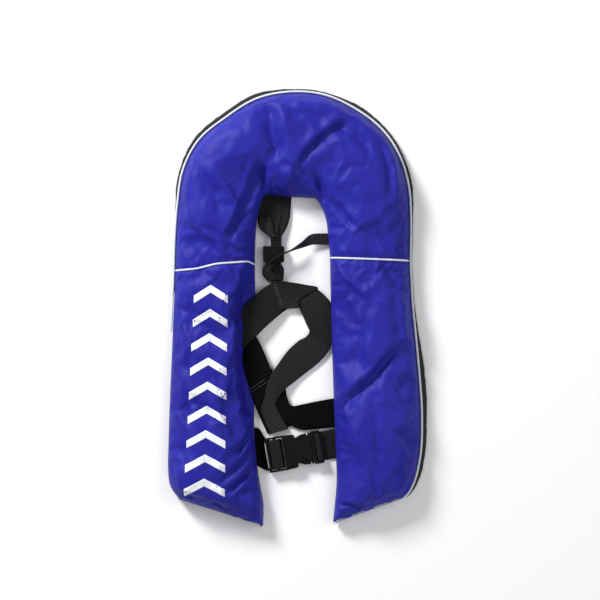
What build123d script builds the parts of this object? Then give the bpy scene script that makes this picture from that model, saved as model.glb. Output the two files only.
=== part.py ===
from build123d import *
import os
from math import cos, radians, sin, tan

# Inflatable life jacket (horse-collar type, packed) lying flat on its back panel.
# Millimetres. +Z points up from the table, +Y from the two lobes' lower ends to the neck.
# The origin is at the middle of the footprint, at the height of the table.

os.makedirs("parts", exist_ok=True)

# ---- Heights and cloth ------------------------------------------------------
PANEL_TOP = 6.0
COVER_TOP = 40.0
UP = (0, 0, 1)
CROWN_LOW = 19.0
CROWN_LEAN = 42.0
CLOTH = 1.4
RIM_LIP = 14.0
PANEL_OUTER_INSET = 2.0
PANEL_GAP_INSET = 9.0
RECESS_TOP = 3.2
WEBBING_T = 1.4
WEBBING_W = 38.0
BELT_Z = 1.9
SLEEVE_T = 0.8

# ---- Strap hollow in the left lobe's inner rim ------------------------------
HOLLOW_Z = 8.6
HOLLOW_X = -77.0
HOLLOW_Y = (-142.0, 24.0)

# ---- Buckle -----------------------------------------------------------------
BUCKLE_AT = (2.6, -185.9)
BUCKLE_TILT = 10.0
BUCKLE_Z = (0.6, 13.6)
FEMALE_HALF = 18.5
FEMALE_W_BACK = 45.0
FEMALE_W_MOUTH = 40.0
WINDOW_U = 6.5
WINDOW_V = 21.5
WINDOW_R = 9.5
ADJUSTER_L = 22.5
FLANGE_L = 13.1
MALE_GAP = 0.4
PRONG_ROOT_U = 18.4
PRONG_TIP_U = -7.0

# ---- Inflator in the right lobe ---------------------------------------------
CYL_X = 106.0
CYL_Z = 21.5
CYL_R = 12.5
LEVER_AT = (106.0, -150.0)
PULL_X = 126.0
STEM_AT = (92.0, -140.0)

# ---- Mouth tube in the left lobe --------------------------------------------
TUBE_X = -106.0
TUBE_Z = 20.0

# The whole outer contour, across the bottom of the gap too.
OUTER = [
    (46, -280), (92, -266), (136, -247), (154, -220), (161, -186), (162, -142), (157, -66),
    (150, 6), (147, 66), (148, 115), (145, 158), (134, 196), (114, 228), (83, 254),
    (40, 275), (-5, 280), (-51, 271), (-93, 245), (-126, 217), (-146, 178), (-154, 125),
    (-157, 60), (-160, -9), (-165, -123), (-167, -212), (-160, -241), (-139, -256.5),
    (-90, -271), (-43, -285),
]
# The gap between the lobes, up to the neck, open at the bottom.
GAP = [
    (48, -310), (49, -276), (53, -230), (52, -180), (48, -84), (45.5, -9), (44, 68),
    (39, 117), (25, 144), (-1, 145), (-39, 149), (-48, 130), (-53, 96), (-54, 52),
    (-53, 10), (-55, -142), (-53, -180), (-49, -218), (-43, -256), (-43, -310),
]


def soft_corners(points, share=0.45, largest=150.0):
    """A radius for each corner of a closed outline, as large as its two sides allow."""
    radii = []
    for i, point in enumerate(points):
        before = Vector(points[i - 1])
        here = Vector(point)
        after = Vector(points[(i + 1) % len(points)])
        turn = (here - before).get_angle(after - here)
        room = share * min((here - before).length, (after - here).length)
        radii.append(min(largest, room / tan(radians(turn) / 2)))
    return radii


def outline(points, grow=0.0):
    """A closed face with rounded corners through the points' runs, moved out by a distance."""
    with BuildSketch(mode=Mode.PRIVATE) as face:
        with BuildLine():
            FilletPolyline(*points, radius=soft_corners(points), close=True)
        make_face()
        if grow:
            offset(amount=grow)
    return face.sketch


def jacket_face(inset, gap_inset=None):
    """The U-shaped footprint, moved in from its edges."""
    with BuildSketch(mode=Mode.PRIVATE) as face:
        add(outline(OUTER, -inset))
        add(outline(GAP, inset if gap_inset is None else gap_inset), mode=Mode.SUBTRACT)
    return face.sketch


def pillow(wall):
    """The stuffed lobes' form, moved in by a wall, with the hollow that the strap presses in."""
    with BuildPart(mode=Mode.PRIVATE) as form:
        with BuildSketch(Plane.XY.offset(PANEL_TOP + wall)):
            add(jacket_face(wall))
        extrude(amount=CROWN_LOW - PANEL_TOP - wall, dir=UP)
        with BuildSketch(Plane.XY.offset(CROWN_LOW)):
            add(jacket_face(wall))
        extrude(amount=COVER_TOP - wall - CROWN_LOW, dir=UP, taper=CROWN_LEAN)
        with BuildSketch(Plane.XY.offset(HOLLOW_Z - wall)):
            with Locations((HOLLOW_X / 2 - wall / 2, sum(HOLLOW_Y) / 2)):
                Rectangle(-HOLLOW_X + wall, HOLLOW_Y[1] - HOLLOW_Y[0] + 2 * wall)
        extrude(amount=COVER_TOP, dir=UP, mode=Mode.SUBTRACT)
    return form.part


def ribbon(stations, thickness=WEBBING_T):
    """Flat webbing through (left edge point, right edge point) pairs, thickness measured upright."""
    with BuildPart(mode=Mode.PRIVATE) as band:
        for left, right in stations:
            across = Vector(right) - Vector(left)
            middle = (Vector(left) + Vector(right)) / 2
            upright = Plane(middle, x_dir=across, z_dir=Vector(across.Y, -across.X, 0))
            with BuildSketch(upright):
                Rectangle(across.length, thickness)
        loft(ruled=True)
    return band.part


def write(piece, name):
    """Label one finished piece and write its STEP file."""
    piece.label = name
    export_step(piece, f"parts/{name}.step")


# =============================================================================
# Jacket body
# =============================================================================
cover_form = pillow(0)
cover_cavity = pillow(CLOTH)
with BuildPart() as cover_whole:
    add(cover_form)
    add(cover_cavity, mode=Mode.SUBTRACT)
    with BuildSketch(Plane.XY.offset(PANEL_TOP)):
        add(jacket_face(RIM_LIP))
    extrude(amount=2 * CLOTH, mode=Mode.SUBTRACT)

# The cover is three panels, divided at the two cross seams.
SEAM_LEFT = ((-180, 47), (-40, 57))
SEAM_RIGHT = ((30, 64.5), (170, 61.5))
BELOW = -320
cover_regions = {
    "front_cover_left": [SEAM_LEFT[0], SEAM_LEFT[1], (-20, 57), (-20, BELOW), (-180, BELOW)],
    "front_cover_right": [SEAM_RIGHT[1], SEAM_RIGHT[0], (20, 64.5), (20, BELOW), (170, BELOW)],
    "front_cover_yoke": [SEAM_LEFT[0], SEAM_LEFT[1], (-20, 57), (20, 64.5), SEAM_RIGHT[0], SEAM_RIGHT[1],
                         (170, 300), (-180, 300)],
}
for cover_name, region in cover_regions.items():
    with BuildPart() as cover_piece:
        add(cover_whole.part)
        with BuildSketch(Plane.XY.offset(PANEL_TOP)):
            with BuildLine():
                Polyline(*region, close=True)
            make_face()
        extrude(amount=COVER_TOP, mode=Mode.INTERSECT)
    write(cover_piece.part, cover_name)

# Cross piping: a raised line over each cross seam, following the crown from edge to edge.
PIPING = 1.2
PIPING_W = 3.2
PIPING_CLEAR = 0.35
PIPING_LOW = 10.0
CROWN_IN = (COVER_TOP - CROWN_LOW) * tan(radians(CROWN_LEAN))
SEAM_ENDS = {
    "cross_piping_left": ((-157.5, 48.6), (-53.6, 56.0)),
    "cross_piping_right": ((44.2, 64.2), (147.3, 62.0)),
}
for piping_name, (outer_end, gap_end) in SEAM_ENDS.items():
    along = Vector(gap_end) - Vector(outer_end)
    rise = [(0, CROWN_LOW), (CROWN_IN, COVER_TOP)]
    fall = [(along.length - inward, level) for inward, level in reversed(rise)]
    section_plane = Plane(
        (outer_end[0], outer_end[1], 0), x_dir=along, z_dir=Vector(along.Y, -along.X, 0)
    )
    with BuildPart() as cross_piping:
        with BuildSketch(section_plane) as section:
            with BuildLine():
                Polyline((0, 0), *rise, *fall, (along.length, 0), close=True)
            make_face()
            offset(amount=PIPING_CLEAR + PIPING)
            with BuildSketch(mode=Mode.SUBTRACT):
                with BuildLine():
                    Polyline((0, 0), *rise, *fall, (along.length, 0), close=True)
                make_face()
                offset(amount=PIPING_CLEAR)
            with Locations((along.length / 2, PIPING_LOW - 50)):
                Rectangle(2 * along.length, 100, mode=Mode.SUBTRACT)
        extrude(amount=PIPING_W / 2, both=True)
    write(cross_piping.part, piping_name)

# Edge piping: a cord sewn along the outer edge, from the left side over the neck to the right tip.
OUTER_EDGE_CLEAR = 0.1
EDGE_PIPING_W = 2.6
with BuildPart() as edge_piping:
    with BuildSketch(Plane.XY.offset(PANEL_TOP + 0.4)):
        add(outline(OUTER, EDGE_PIPING_W))
        add(outline(OUTER, OUTER_EDGE_CLEAR), mode=Mode.SUBTRACT)
        with Locations((-100, -170)):
            Rectangle(290, 300, mode=Mode.SUBTRACT)
    extrude(amount=EDGE_PIPING_W)
write(edge_piping.part, "edge_piping")

# Hook-and-loop closure: two flat tapes, one on the other, along the outer edge.
TAPE_T = 1.5
TAPE_BOTTOM = 2.6
TAPE_OUT = 7.0
LOOP_TAPE_BOTTOM = TAPE_BOTTOM + TAPE_T + 0.2
for tape_name, tape_bottom in (("closure_hook_tape", TAPE_BOTTOM), ("closure_loop_tape", LOOP_TAPE_BOTTOM)):
    with BuildPart() as tape:
        with BuildSketch(Plane.XY.offset(tape_bottom)):
            add(outline(OUTER, TAPE_OUT))
            add(outline(OUTER, -PANEL_OUTER_INSET + OUTER_EDGE_CLEAR), mode=Mode.SUBTRACT)
            with Locations((-100, -200)):
                Rectangle(330, 300, mode=Mode.SUBTRACT)
        extrude(amount=TAPE_T)
    write(tape.part, tape_name)

# Back panel: padded mesh, with two channels below for the waist belt and one for the neck strap.
CHANNEL_LEFT = (-112, -190, 116, 66)
CHANNEL_RIGHT = (104, -168, 104, 64)
CHANNEL_NECK = (-22, 152, 46, 32)
with BuildPart() as back_panel:
    with BuildSketch():
        add(jacket_face(PANEL_OUTER_INSET, PANEL_GAP_INSET))
    extrude(amount=PANEL_TOP)
    for at_x, at_y, size_x, size_y in (CHANNEL_LEFT, CHANNEL_RIGHT, CHANNEL_NECK):
        with BuildSketch():
            with Locations((at_x, at_y)):
                Rectangle(size_x, size_y)
        extrude(amount=RECESS_TOP, mode=Mode.SUBTRACT)
write(back_panel.part, "back_panel")

# Belt sleeves: a flat cloth sewn under each channel.
for sleeve_name, channel in (("belt_sleeve_left", CHANNEL_LEFT), ("belt_sleeve_right", CHANNEL_RIGHT)):
    with BuildPart() as sleeve:
        with BuildSketch():
            with Locations((channel[0], channel[1])):
                Rectangle(channel[2] - 0.4, channel[3] - 0.4)
            add(jacket_face(PANEL_OUTER_INSET, PANEL_GAP_INSET), mode=Mode.INTERSECT)
        extrude(amount=SLEEVE_T)
    write(sleeve.part, sleeve_name)

# Binding: a narrow tape over the rim of the left lobe beside the gap.
with BuildPart() as inner_edge_binding:
    with BuildSketch(Plane.XY.offset(PANEL_TOP - 1.6)):
        add(outline(GAP, 8.8))
        add(outline(GAP), mode=Mode.SUBTRACT)
        with Locations((-52, 84)):
            Rectangle(30, 92, mode=Mode.INTERSECT)
    extrude(amount=1.5)
write(inner_edge_binding.part, "inner_edge_binding")

# =============================================================================
# Inside: bladder, inflator, mouth tube, whistle
# =============================================================================
BLADDER_LOW = 6.1
BLADDER_TOP = 27.0
BLADDER_INSET = 15.5
POCKET_FLOOR = 8.6
POCKET_RIGHT = (107.5, -98, 67, 268)
POCKET_LEFT = (-104, -100, 40, 210)
with BuildPart() as bladder:
    with BuildSketch(Plane.XY.offset(BLADDER_LOW)):
        add(jacket_face(BLADDER_INSET))
    extrude(amount=BLADDER_TOP - BLADDER_LOW)
    for at_x, at_y, size_x, size_y in (POCKET_RIGHT, POCKET_LEFT):
        with BuildSketch(Plane.XY.offset(POCKET_FLOOR)):
            with Locations((at_x, at_y)):
                Rectangle(size_x, size_y)
        extrude(amount=COVER_TOP, mode=Mode.SUBTRACT)
    with BuildSketch(Plane.XY.offset(HOLLOW_Z - 3 * CLOTH)):
        with Locations((HOLLOW_X / 2 - 2, sum(HOLLOW_Y) / 2)):
            Rectangle(-HOLLOW_X + 4, HOLLOW_Y[1] - HOLLOW_Y[0] + 8)
    extrude(amount=COVER_TOP, mode=Mode.SUBTRACT)
write(bladder.part, "bladder")

# Inflator body: a block with a stem bore, a cylinder port, a pin bore and a lever slot.
BODY_SIZE = (38, 46, 21)
BODY_AT = (98, -137)
BODY_LOW = 11.0
STEM_R = 5.0
PORT_DEPTH = 12.0
PORT_R = 6.6
PIN_R = 1.5
SLOT_T = 4.4
PIN_BORE_L = 34.0
body_top_y = BODY_AT[1] + BODY_SIZE[1] / 2
seal_y = body_top_y - PORT_DEPTH + 0.8
with BuildPart() as inflator_body:
    with BuildSketch(Plane.XY.offset(BODY_LOW)):
        with Locations(BODY_AT):
            RectangleRounded(BODY_SIZE[0], BODY_SIZE[1], 6)
    extrude(amount=BODY_SIZE[2])
    with BuildSketch(Plane.XY.offset(BODY_LOW)):
        with Locations(STEM_AT):
            Circle(STEM_R + 0.1)
    extrude(amount=BODY_SIZE[2], mode=Mode.SUBTRACT)
    with BuildSketch(Plane((CYL_X, body_top_y, CYL_Z), x_dir=(1, 0, 0), z_dir=(0, -1, 0))):
        Circle(PORT_R)
    extrude(amount=PORT_DEPTH, mode=Mode.SUBTRACT)
    with BuildSketch(Plane((CYL_X, body_top_y, CYL_Z), x_dir=(1, 0, 0), z_dir=(0, -1, 0))):
        Circle(PIN_R + 1.6)
    extrude(amount=PIN_BORE_L, mode=Mode.SUBTRACT)
    with BuildSketch(Plane.XY.offset(CYL_Z - SLOT_T / 2)):
        with Locations((LEVER_AT[0] + 5, LEVER_AT[1] - 2)):
            Rectangle(24, 22)
    extrude(amount=SLOT_T, mode=Mode.SUBTRACT)
write(inflator_body.part, "inflator_body")

# Stem with its flange, welded to the bladder; two gaskets and the cap nut.
with BuildPart() as inflator_stem:
    with BuildSketch(Plane.XY.offset(POCKET_FLOOR)):
        with Locations(STEM_AT):
            Circle(17)
    extrude(amount=1.2)
    with BuildSketch(Plane.XY.offset(POCKET_FLOOR + 1.2)):
        with Locations(STEM_AT):
            Circle(STEM_R)
    extrude(amount=27)
write(inflator_stem.part, "inflator_stem")

GASKETS = (("stem_gasket_lower", POCKET_FLOOR + 1.2), ("stem_gasket_upper", BODY_LOW + BODY_SIZE[2]))
for gasket_name, gasket_low in GASKETS:
    with BuildPart() as gasket:
        with BuildSketch(Plane.XY.offset(gasket_low)):
            with Locations(STEM_AT):
                Circle(STEM_R + 3)
                Circle(STEM_R + 0.05, mode=Mode.SUBTRACT)
        extrude(amount=1.2)
    write(gasket.part, gasket_name)

with BuildPart() as cap_nut:
    with BuildSketch(Plane.XY.offset(BODY_LOW + BODY_SIZE[2] + 1.2)):
        with Locations(STEM_AT):
            RegularPolygon(8, 6)
            Circle(STEM_R + 0.05, mode=Mode.SUBTRACT)
    extrude(amount=3.4)
write(cap_nut.part, "cap_nut")

# Gas cylinder: a steel bottle with a short threaded neck.
CYL_NECK_R = 6.35
CYL_LENGTH = 138.0
NECK_CLEAR = 3.0
with BuildPart() as co2_cylinder:
    with BuildSketch(Plane((CYL_X, 0, CYL_Z), x_dir=(1, 0, 0), z_dir=(0, 0, 1))):
        with BuildLine():
            Polyline(
                (0, seal_y + 3), (2.2, seal_y + 3), (2.2, seal_y), (CYL_NECK_R, seal_y),
                (CYL_NECK_R, body_top_y + NECK_CLEAR), (CYL_R - 3, body_top_y + NECK_CLEAR + 4),
                (CYL_R, body_top_y + NECK_CLEAR + 9), (CYL_R, seal_y + CYL_LENGTH - 8),
                (CYL_R - 3, seal_y + CYL_LENGTH - 2), (CYL_R - 8, seal_y + CYL_LENGTH),
                (0, seal_y + CYL_LENGTH), close=True,
            )
        make_face()
    revolve(axis=Axis((CYL_X, 0, CYL_Z), (0, 1, 0)), revolution_arc=360)
write(co2_cylinder.part, "co2_cylinder")

with BuildPart() as cylinder_gasket:
    with BuildSketch(Plane((CYL_X, body_top_y - PORT_DEPTH, CYL_Z), x_dir=(1, 0, 0), z_dir=(0, 1, 0))):
        Circle(PORT_R - 0.1)
        Circle(PIN_R + 1.8, mode=Mode.SUBTRACT)
    extrude(amount=0.5)
write(cylinder_gasket.part, "cylinder_gasket")

# Piercing pin with a collar, and its return spring.
pin_low_y = LEVER_AT[1] + 4.6
pin_tip_y = seal_y - 0.6
with BuildPart() as piercing_pin:
    with BuildSketch(Plane((CYL_X, pin_low_y, CYL_Z), x_dir=(1, 0, 0), z_dir=(0, 1, 0))):
        Circle(2.7)
    extrude(amount=2.0)
    with BuildSketch(Plane((CYL_X, pin_low_y, CYL_Z), x_dir=(1, 0, 0), z_dir=(0, 1, 0))):
        Circle(PIN_R)
    extrude(amount=pin_tip_y - pin_low_y - 2)
    with BuildSketch(Plane((CYL_X, pin_tip_y - 2, CYL_Z), x_dir=(1, 0, 0), z_dir=(0, 1, 0))):
        Circle(PIN_R)
    extrude(amount=2, taper=30)
write(piercing_pin.part, "piercing_pin")

with BuildPart() as pin_spring:
    with BuildSketch(Plane((CYL_X, pin_low_y + 2.3, CYL_Z), x_dir=(1, 0, 0), z_dir=(0, 1, 0))):
        Circle(2.7)
        Circle(PIN_R + 0.4, mode=Mode.SUBTRACT)
    extrude(amount=pin_tip_y - pin_low_y - 6.5)
write(pin_spring.part, "pin_spring")

# Lever: a hub with a cam nose, an arm towards the lobe's outer side, and its pivot pin.
ARM_L = PULL_X - LEVER_AT[0] + 4
LEVER_T = 3.6
with BuildPart() as pull_lever:
    with BuildSketch(Plane.XY.offset(CYL_Z - LEVER_T / 2)):
        with Locations(LEVER_AT):
            Circle(3.6)
        with Locations((LEVER_AT[0] - 3, LEVER_AT[1])):
            SlotOverall(8, 3.4)
        with Locations((LEVER_AT[0] + ARM_L / 2, LEVER_AT[1])):
            SlotOverall(ARM_L, 5)
        with Locations(LEVER_AT):
            Circle(1.3, mode=Mode.SUBTRACT)
    extrude(amount=LEVER_T)
write(pull_lever.part, "pull_lever")

with BuildPart() as lever_pin:
    with BuildSketch(Plane.XY.offset(CYL_Z - LEVER_T / 2)):
        with Locations(LEVER_AT):
            Circle(1.22)
    extrude(amount=LEVER_T)
write(lever_pin.part, "lever_pin")

# Pull handle, with its lanyard up to the lever's end.
HANDLE_TOP_Y = -190.0
with BuildPart() as pull_handle:
    with BuildSketch(Plane.XY.offset(CYL_Z - 5)):
        with Locations((PULL_X, HANDLE_TOP_Y - 7)):
            RectangleRounded(24, 14, 5)
    extrude(amount=10)
    with BuildSketch(Plane.XY.offset(CYL_Z - 5)):
        with Locations((PULL_X - 6, HANDLE_TOP_Y - 8), (PULL_X + 6, HANDLE_TOP_Y - 8)):
            Circle(3)
    extrude(amount=10, mode=Mode.SUBTRACT)
write(pull_handle.part, "pull_handle")

LANYARD_R = 1.4
with BuildPart() as pull_lanyard:
    with BuildSketch(Plane((PULL_X, HANDLE_TOP_Y, CYL_Z), x_dir=(1, 0, 0), z_dir=(0, 1, 0))):
        Circle(LANYARD_R)
    extrude(amount=LEVER_AT[1] - 3 - HANDLE_TOP_Y)
write(pull_lanyard.part, "pull_lanyard")

# Mouth tube: base flange, tube with a valve seat, poppet with its spring, and the dust cap.
TUBE_TOP_Y = -50.0
TUBE_LOW_Y = -150.0
TUBE_R = 6.0
TUBE_BORE = 4.4
along_tube = Plane((TUBE_X, TUBE_TOP_Y, TUBE_Z), x_dir=(1, 0, 0), z_dir=(0, -1, 0))
with BuildPart() as oral_tube:
    with BuildSketch(along_tube):
        Circle(TUBE_R)
        Circle(TUBE_BORE, mode=Mode.SUBTRACT)
    extrude(amount=TUBE_TOP_Y - TUBE_LOW_Y)
write(oral_tube.part, "oral_tube")

with BuildPart() as oral_tube_base:
    with BuildSketch(Plane.XY.offset(POCKET_FLOOR)):
        with Locations((TUBE_X, TUBE_TOP_Y + 12)):
            Circle(16)
    extrude(amount=1.4)
    with BuildSketch(Plane.XY.offset(POCKET_FLOOR + 1.4)):
        with Locations((TUBE_X, TUBE_TOP_Y + 8)):
            Rectangle(14, 16)
    extrude(amount=TUBE_Z + 7 - POCKET_FLOOR - 1.4)
write(oral_tube_base.part, "oral_tube_base")

MOUTH_L = 20.0
with BuildPart() as mouthpiece:
    with BuildSketch(along_tube.offset(TUBE_TOP_Y - TUBE_LOW_Y)):
        Circle(7.6)
        Circle(5.0, mode=Mode.SUBTRACT)
    extrude(amount=MOUTH_L)
write(mouthpiece.part, "mouthpiece")

with BuildPart() as valve_poppet:
    with BuildSketch(along_tube.offset(TUBE_TOP_Y - TUBE_LOW_Y + MOUTH_L - 4)):
        Circle(4.6)
    extrude(amount=2.4)
    with BuildSketch(along_tube.offset(TUBE_TOP_Y - TUBE_LOW_Y - 2)):
        Circle(1.2)
    extrude(amount=MOUTH_L - 2)
write(valve_poppet.part, "valve_poppet")

with BuildPart() as poppet_spring:
    with BuildSketch(along_tube.offset(TUBE_TOP_Y - TUBE_LOW_Y + 0.5)):
        Circle(3.0)
        Circle(1.7, mode=Mode.SUBTRACT)
    extrude(amount=MOUTH_L - 5)
write(poppet_spring.part, "poppet_spring")

CAP_L = 14.0
with BuildPart() as dust_cap:
    with BuildSketch(along_tube.offset(TUBE_TOP_Y - TUBE_LOW_Y + MOUTH_L - CAP_L + 2.4)):
        Circle(9.6)
    extrude(amount=CAP_L)
    with BuildSketch(along_tube.offset(TUBE_TOP_Y - TUBE_LOW_Y + MOUTH_L - CAP_L + 2.4)):
        Circle(7.7)
    extrude(amount=CAP_L - 2, mode=Mode.SUBTRACT)
write(dust_cap.part, "dust_cap")

# Whistle, in the upper end of the left pocket.
WHISTLE_Y = -12.0
with BuildPart() as whistle:
    with BuildSketch(Plane.XY.offset(POCKET_FLOOR + 0.6)):
        with Locations((TUBE_X, WHISTLE_Y)):
            RectangleRounded(30, 12, 3)
    extrude(amount=9)
    with BuildSketch(Plane.XY.offset(POCKET_FLOOR + 9.6)):
        with Locations((TUBE_X + 4, WHISTLE_Y)):
            Rectangle(5, 7)
    extrude(amount=-6, mode=Mode.SUBTRACT)
write(whistle.part, "whistle")

# =============================================================================
# Harness
# =============================================================================
NARROW_Z = 7.0
NARROW_T = 3.0
# Neck strap: sewn under the panel, down to the narrow gathered run through the slider.
with BuildPart() as neck_strap:
    add(ribbon([
        ((-43, 164, 1.6), (-5, 164, 1.6)),
        ((-43, 142, 1.6), (-5, 142, 1.6)),
        ((-50, 118, 3.2), (-8, 118, 3.2)),
        ((-49, 102, 5.5), (-13, 102, 5.5)),
        ((-36, 90, NARROW_Z), (-18, 90, NARROW_Z)),
    ]))
    with BuildSketch(Plane((-26, 91, NARROW_Z), x_dir=(1, 0, 0), z_dir=(0, -1, 0))):
        Rectangle(14, NARROW_T)
    extrude(amount=32.5)
write(neck_strap.part, "neck_strap")

SLIDER_Y = (59.8, 80.6)
with BuildPart() as strap_slider:
    with BuildSketch(Plane.XY.offset(3.4)):
        with Locations((-29.2, sum(SLIDER_Y) / 2)):
            RectangleRounded(27.6, SLIDER_Y[1] - SLIDER_Y[0], 2)
    extrude(amount=8.4)
    with BuildSketch(Plane((-26, SLIDER_Y[1], NARROW_Z), x_dir=(1, 0, 0), z_dir=(0, -1, 0))):
        Rectangle(15, NARROW_T + 1)
    extrude(amount=SLIDER_Y[1] - SLIDER_Y[0], mode=Mode.SUBTRACT)
write(strap_slider.part, "strap_slider")

# The gathered loop of webbing below the slider.
with BuildPart() as slider_loop:
    with BuildSketch(Plane.XY.offset(3.0)):
        with Locations((-29.5, 46.8)):
            RectangleRounded(28, 23.4, 8)
    extrude(amount=9)
write(slider_loop.part, "slider_loop")

# Joint where the neck strap is sewn to the two back straps.
with BuildPart() as harness_joint:
    with BuildSketch(Plane.XY.offset(6.6)):
        with BuildLine():
            Polyline((-33, 34.8), (-14, 34.8), (-9, 30), (30, 25.5), (6, 12), (4, 1), (-20, -3), (-22, 20),
                     close=True)
        make_face()
    extrude(amount=1.6)
write(harness_joint.part, "harness_joint")

# Left back strap: over the rim of the left lobe, folded under itself, and down to the belt.
CREASE_X = -70.0
with BuildPart() as back_strap_left:
    add(ribbon([
        ((-36, 30.5, 5.0), (-14, -3, 5.0)),
        ((-52, 17, 10.4), (-30, -17, 8.4)),
        ((-58, 11.2, 11.7), (-46, -29, 11.7)),
        ((CREASE_X, 1.3, 11.7), (CREASE_X, -54.6, 11.7)),
    ]))
    add(ribbon([
        ((CREASE_X, -54.6, 9.9), (CREASE_X, -5, 9.9)),
        ((-69.5, -74, 9.9), (-47, -46, 9.9)),
        ((-62, -101, 9.9), (-34, -76, 8.0)),
        ((-54.2, -126, 9.7), (-20, -107, 3.5)),
        ((-44, -150, 3.2), (-11, -133, 1.8)),
        ((-37, -166, 0.95), (-3, -154, 0.95)),
    ]))
    with BuildSketch(Plane.XY.offset(9.2)):
        with BuildLine():
            Polyline(
                (CREASE_X, -54.6), (CREASE_X - WEBBING_T, -52), (CREASE_X - WEBBING_T, -2), (CREASE_X, 1.3),
                close=True,
            )
        make_face()
    extrude(amount=3.2)
write(back_strap_left.part, "back_strap_left")

# Right back strap: down beside the right lobe, diagonally left, and round into the back belt.
with BuildPart() as back_strap_right:
    add(ribbon([
        ((5, 2, 5.2), (36, 22, 5.2)),
        ((6, -2, 4.6), (46, 4, 4.0)),
        ((13, -20, 2.6), (49, -24, 2.6)),
        ((20, -34, 2.2), (47, -46, 2.2)),
        ((14, -38, 2.2), (40, -62, 2.2)),
        ((2.6, -43, 2.4), (28, -73, 2.4)),
        ((-11.7, -57, 3.8), (10, -87, 3.0)),
        ((-24, -74, 6.5), (-4, -98, 5.0)),
        ((-33, -88, 9.5), (-13, -105, 7.5)),
    ]))
write(back_strap_right.part, "back_strap_right")

with BuildPart() as back_belt:
    add(ribbon([
        ((-34.2, -90, 9.4), (-13.5, -106, 7.4)),
        ((-37.5, -106, 9.6), (-12.5, -113, 6.6)),
        ((-30, -122, 8.0), (-10.5, -119.5, 5.6)),
        ((-24.5, -136, 6.0), (-8.5, -125, 4.6)),
        ((-12, -150, 4.4), (-3, -128, 3.6)),
        ((6, -159, 2.4), (8, -126, 2.4)),
        ((30, -158, 1.9), (30, -121.5, 1.9)),
        ((56, -155.5, 1.9), (56, -117, 1.9)),
    ]))
write(back_belt.part, "back_belt")

# Narrow neck tape: flat at the right lobe, twisted on edge over the slider.
with BuildPart() as neck_tape:
    add(ribbon([
        ((50, 82.5, 3.2), (50, 97.5, 3.2)),
        ((40, 82.5, 4.2), (40, 97.5, 4.2)),
        ((22, 82.5, 8), (20, 96, 9)),
        ((11, 79.5, 9), (7, 85.5, 15)),
        ((-6, 74, 12.4), (-7, 75.6, 23)),
        ((-22, 67.5, 12.6), (-22.6, 69, 24)),
        ((-33, 59, 12.6), (-34, 60, 24)),
        ((-37, 53, 12.4), (-38, 53.6, 20)),
    ], thickness=1.0))
write(neck_tape.part, "neck_tape")

# =============================================================================
# Waist belt and side-release buckle, in the buckle's own tilted plane
# =============================================================================
TILT = radians(BUCKLE_TILT)


def buckle_plane(height):
    """The tilted buckle frame at a height: local x along the belt, towards the male half."""
    return Plane((BUCKLE_AT[0], BUCKLE_AT[1], height), x_dir=(cos(TILT), sin(TILT), 0))


def from_buckle(along, across, height):
    """A point given in the buckle's frame."""
    return (
        BUCKLE_AT[0] + along * cos(TILT) - across * sin(TILT),
        BUCKLE_AT[1] + along * sin(TILT) + across * cos(TILT),
        height,
    )


def belt_block(along, across, low, high, radius=0.0):
    """A block in the buckle's frame, between two places along and two across."""
    with BuildPart(mode=Mode.PRIVATE) as block:
        with BuildSketch(buckle_plane(low)):
            with Locations((sum(along) / 2, sum(across) / 2)):
                if radius:
                    RectangleRounded(along[1] - along[0], across[1] - across[0], radius)
                else:
                    Rectangle(along[1] - along[0], across[1] - across[0])
        extrude(amount=high - low)
    return block.part


# Female half: a hollow body with two side windows and a frame for the belt at its back.
ADJUSTER_END = -FEMALE_HALF - ADJUSTER_L
BAR_W = 3.4
with BuildPart() as buckle_female:
    with BuildSketch(buckle_plane(BUCKLE_Z[0])):
        with BuildLine():
            Polyline((-FEMALE_HALF, -FEMALE_W_BACK / 2), (FEMALE_HALF, -FEMALE_W_MOUTH / 2),
                     (FEMALE_HALF, FEMALE_W_MOUTH / 2), (-FEMALE_HALF, FEMALE_W_BACK / 2), close=True)
        make_face()
    extrude(amount=BUCKLE_Z[1] - BUCKLE_Z[0])
    add(belt_block((-FEMALE_HALF + 3, FEMALE_HALF + 1), (-17.6, 17.6), 3.0, 11.2), mode=Mode.SUBTRACT)
    with BuildSketch(buckle_plane(BUCKLE_Z[0])):
        with Locations((WINDOW_U, WINDOW_V), (WINDOW_U, -WINDOW_V)):
            Circle(WINDOW_R)
    extrude(amount=BUCKLE_Z[1], mode=Mode.SUBTRACT)
    for side in (-1, 1):
        add(belt_block((ADJUSTER_END, -FEMALE_HALF + 1), sorted((side * 20.2, side * 22.6)), 3.2, 11.4))
    add(belt_block((ADJUSTER_END, ADJUSTER_END + BAR_W), (-22.6, 22.6), 3.4, 11.4, radius=1.2))
    add(belt_block((-FEMALE_HALF - 12, -FEMALE_HALF - 8), (-21, 21), 4.8, 9.2))
write(buckle_female.part, "buckle_female")

# Male half: flange frame with a belt bar, and a centre guide tongue.
FLANGE_U = FEMALE_HALF + MALE_GAP
FLANGE_END = FLANGE_U + FLANGE_L
BAR_U = (FLANGE_U + 7.6, FLANGE_END)
with BuildPart() as buckle_male:
    add(belt_block((FLANGE_U, FLANGE_END), (-21.5, 21.5), 3.2, 12.2, radius=2.5))
    add(belt_block((FLANGE_U + 3.4, BAR_U[0]), (-19.4, 19.4), 3.0, 12.4), mode=Mode.SUBTRACT)
    add(belt_block((BAR_U[0] - 0.1, FLANGE_END + 1), (-19.4, 19.4), 9.4, 12.4), mode=Mode.SUBTRACT)
    add(belt_block((BAR_U[0] - 0.1, FLANGE_END + 1), (-19.4, 19.4), 3.0, 3.6), mode=Mode.SUBTRACT)
    add(belt_block((-8, FLANGE_U + 1), (-2.6, 2.6), 4.2, 9.8))
write(buckle_male.part, "buckle_male")

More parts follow.
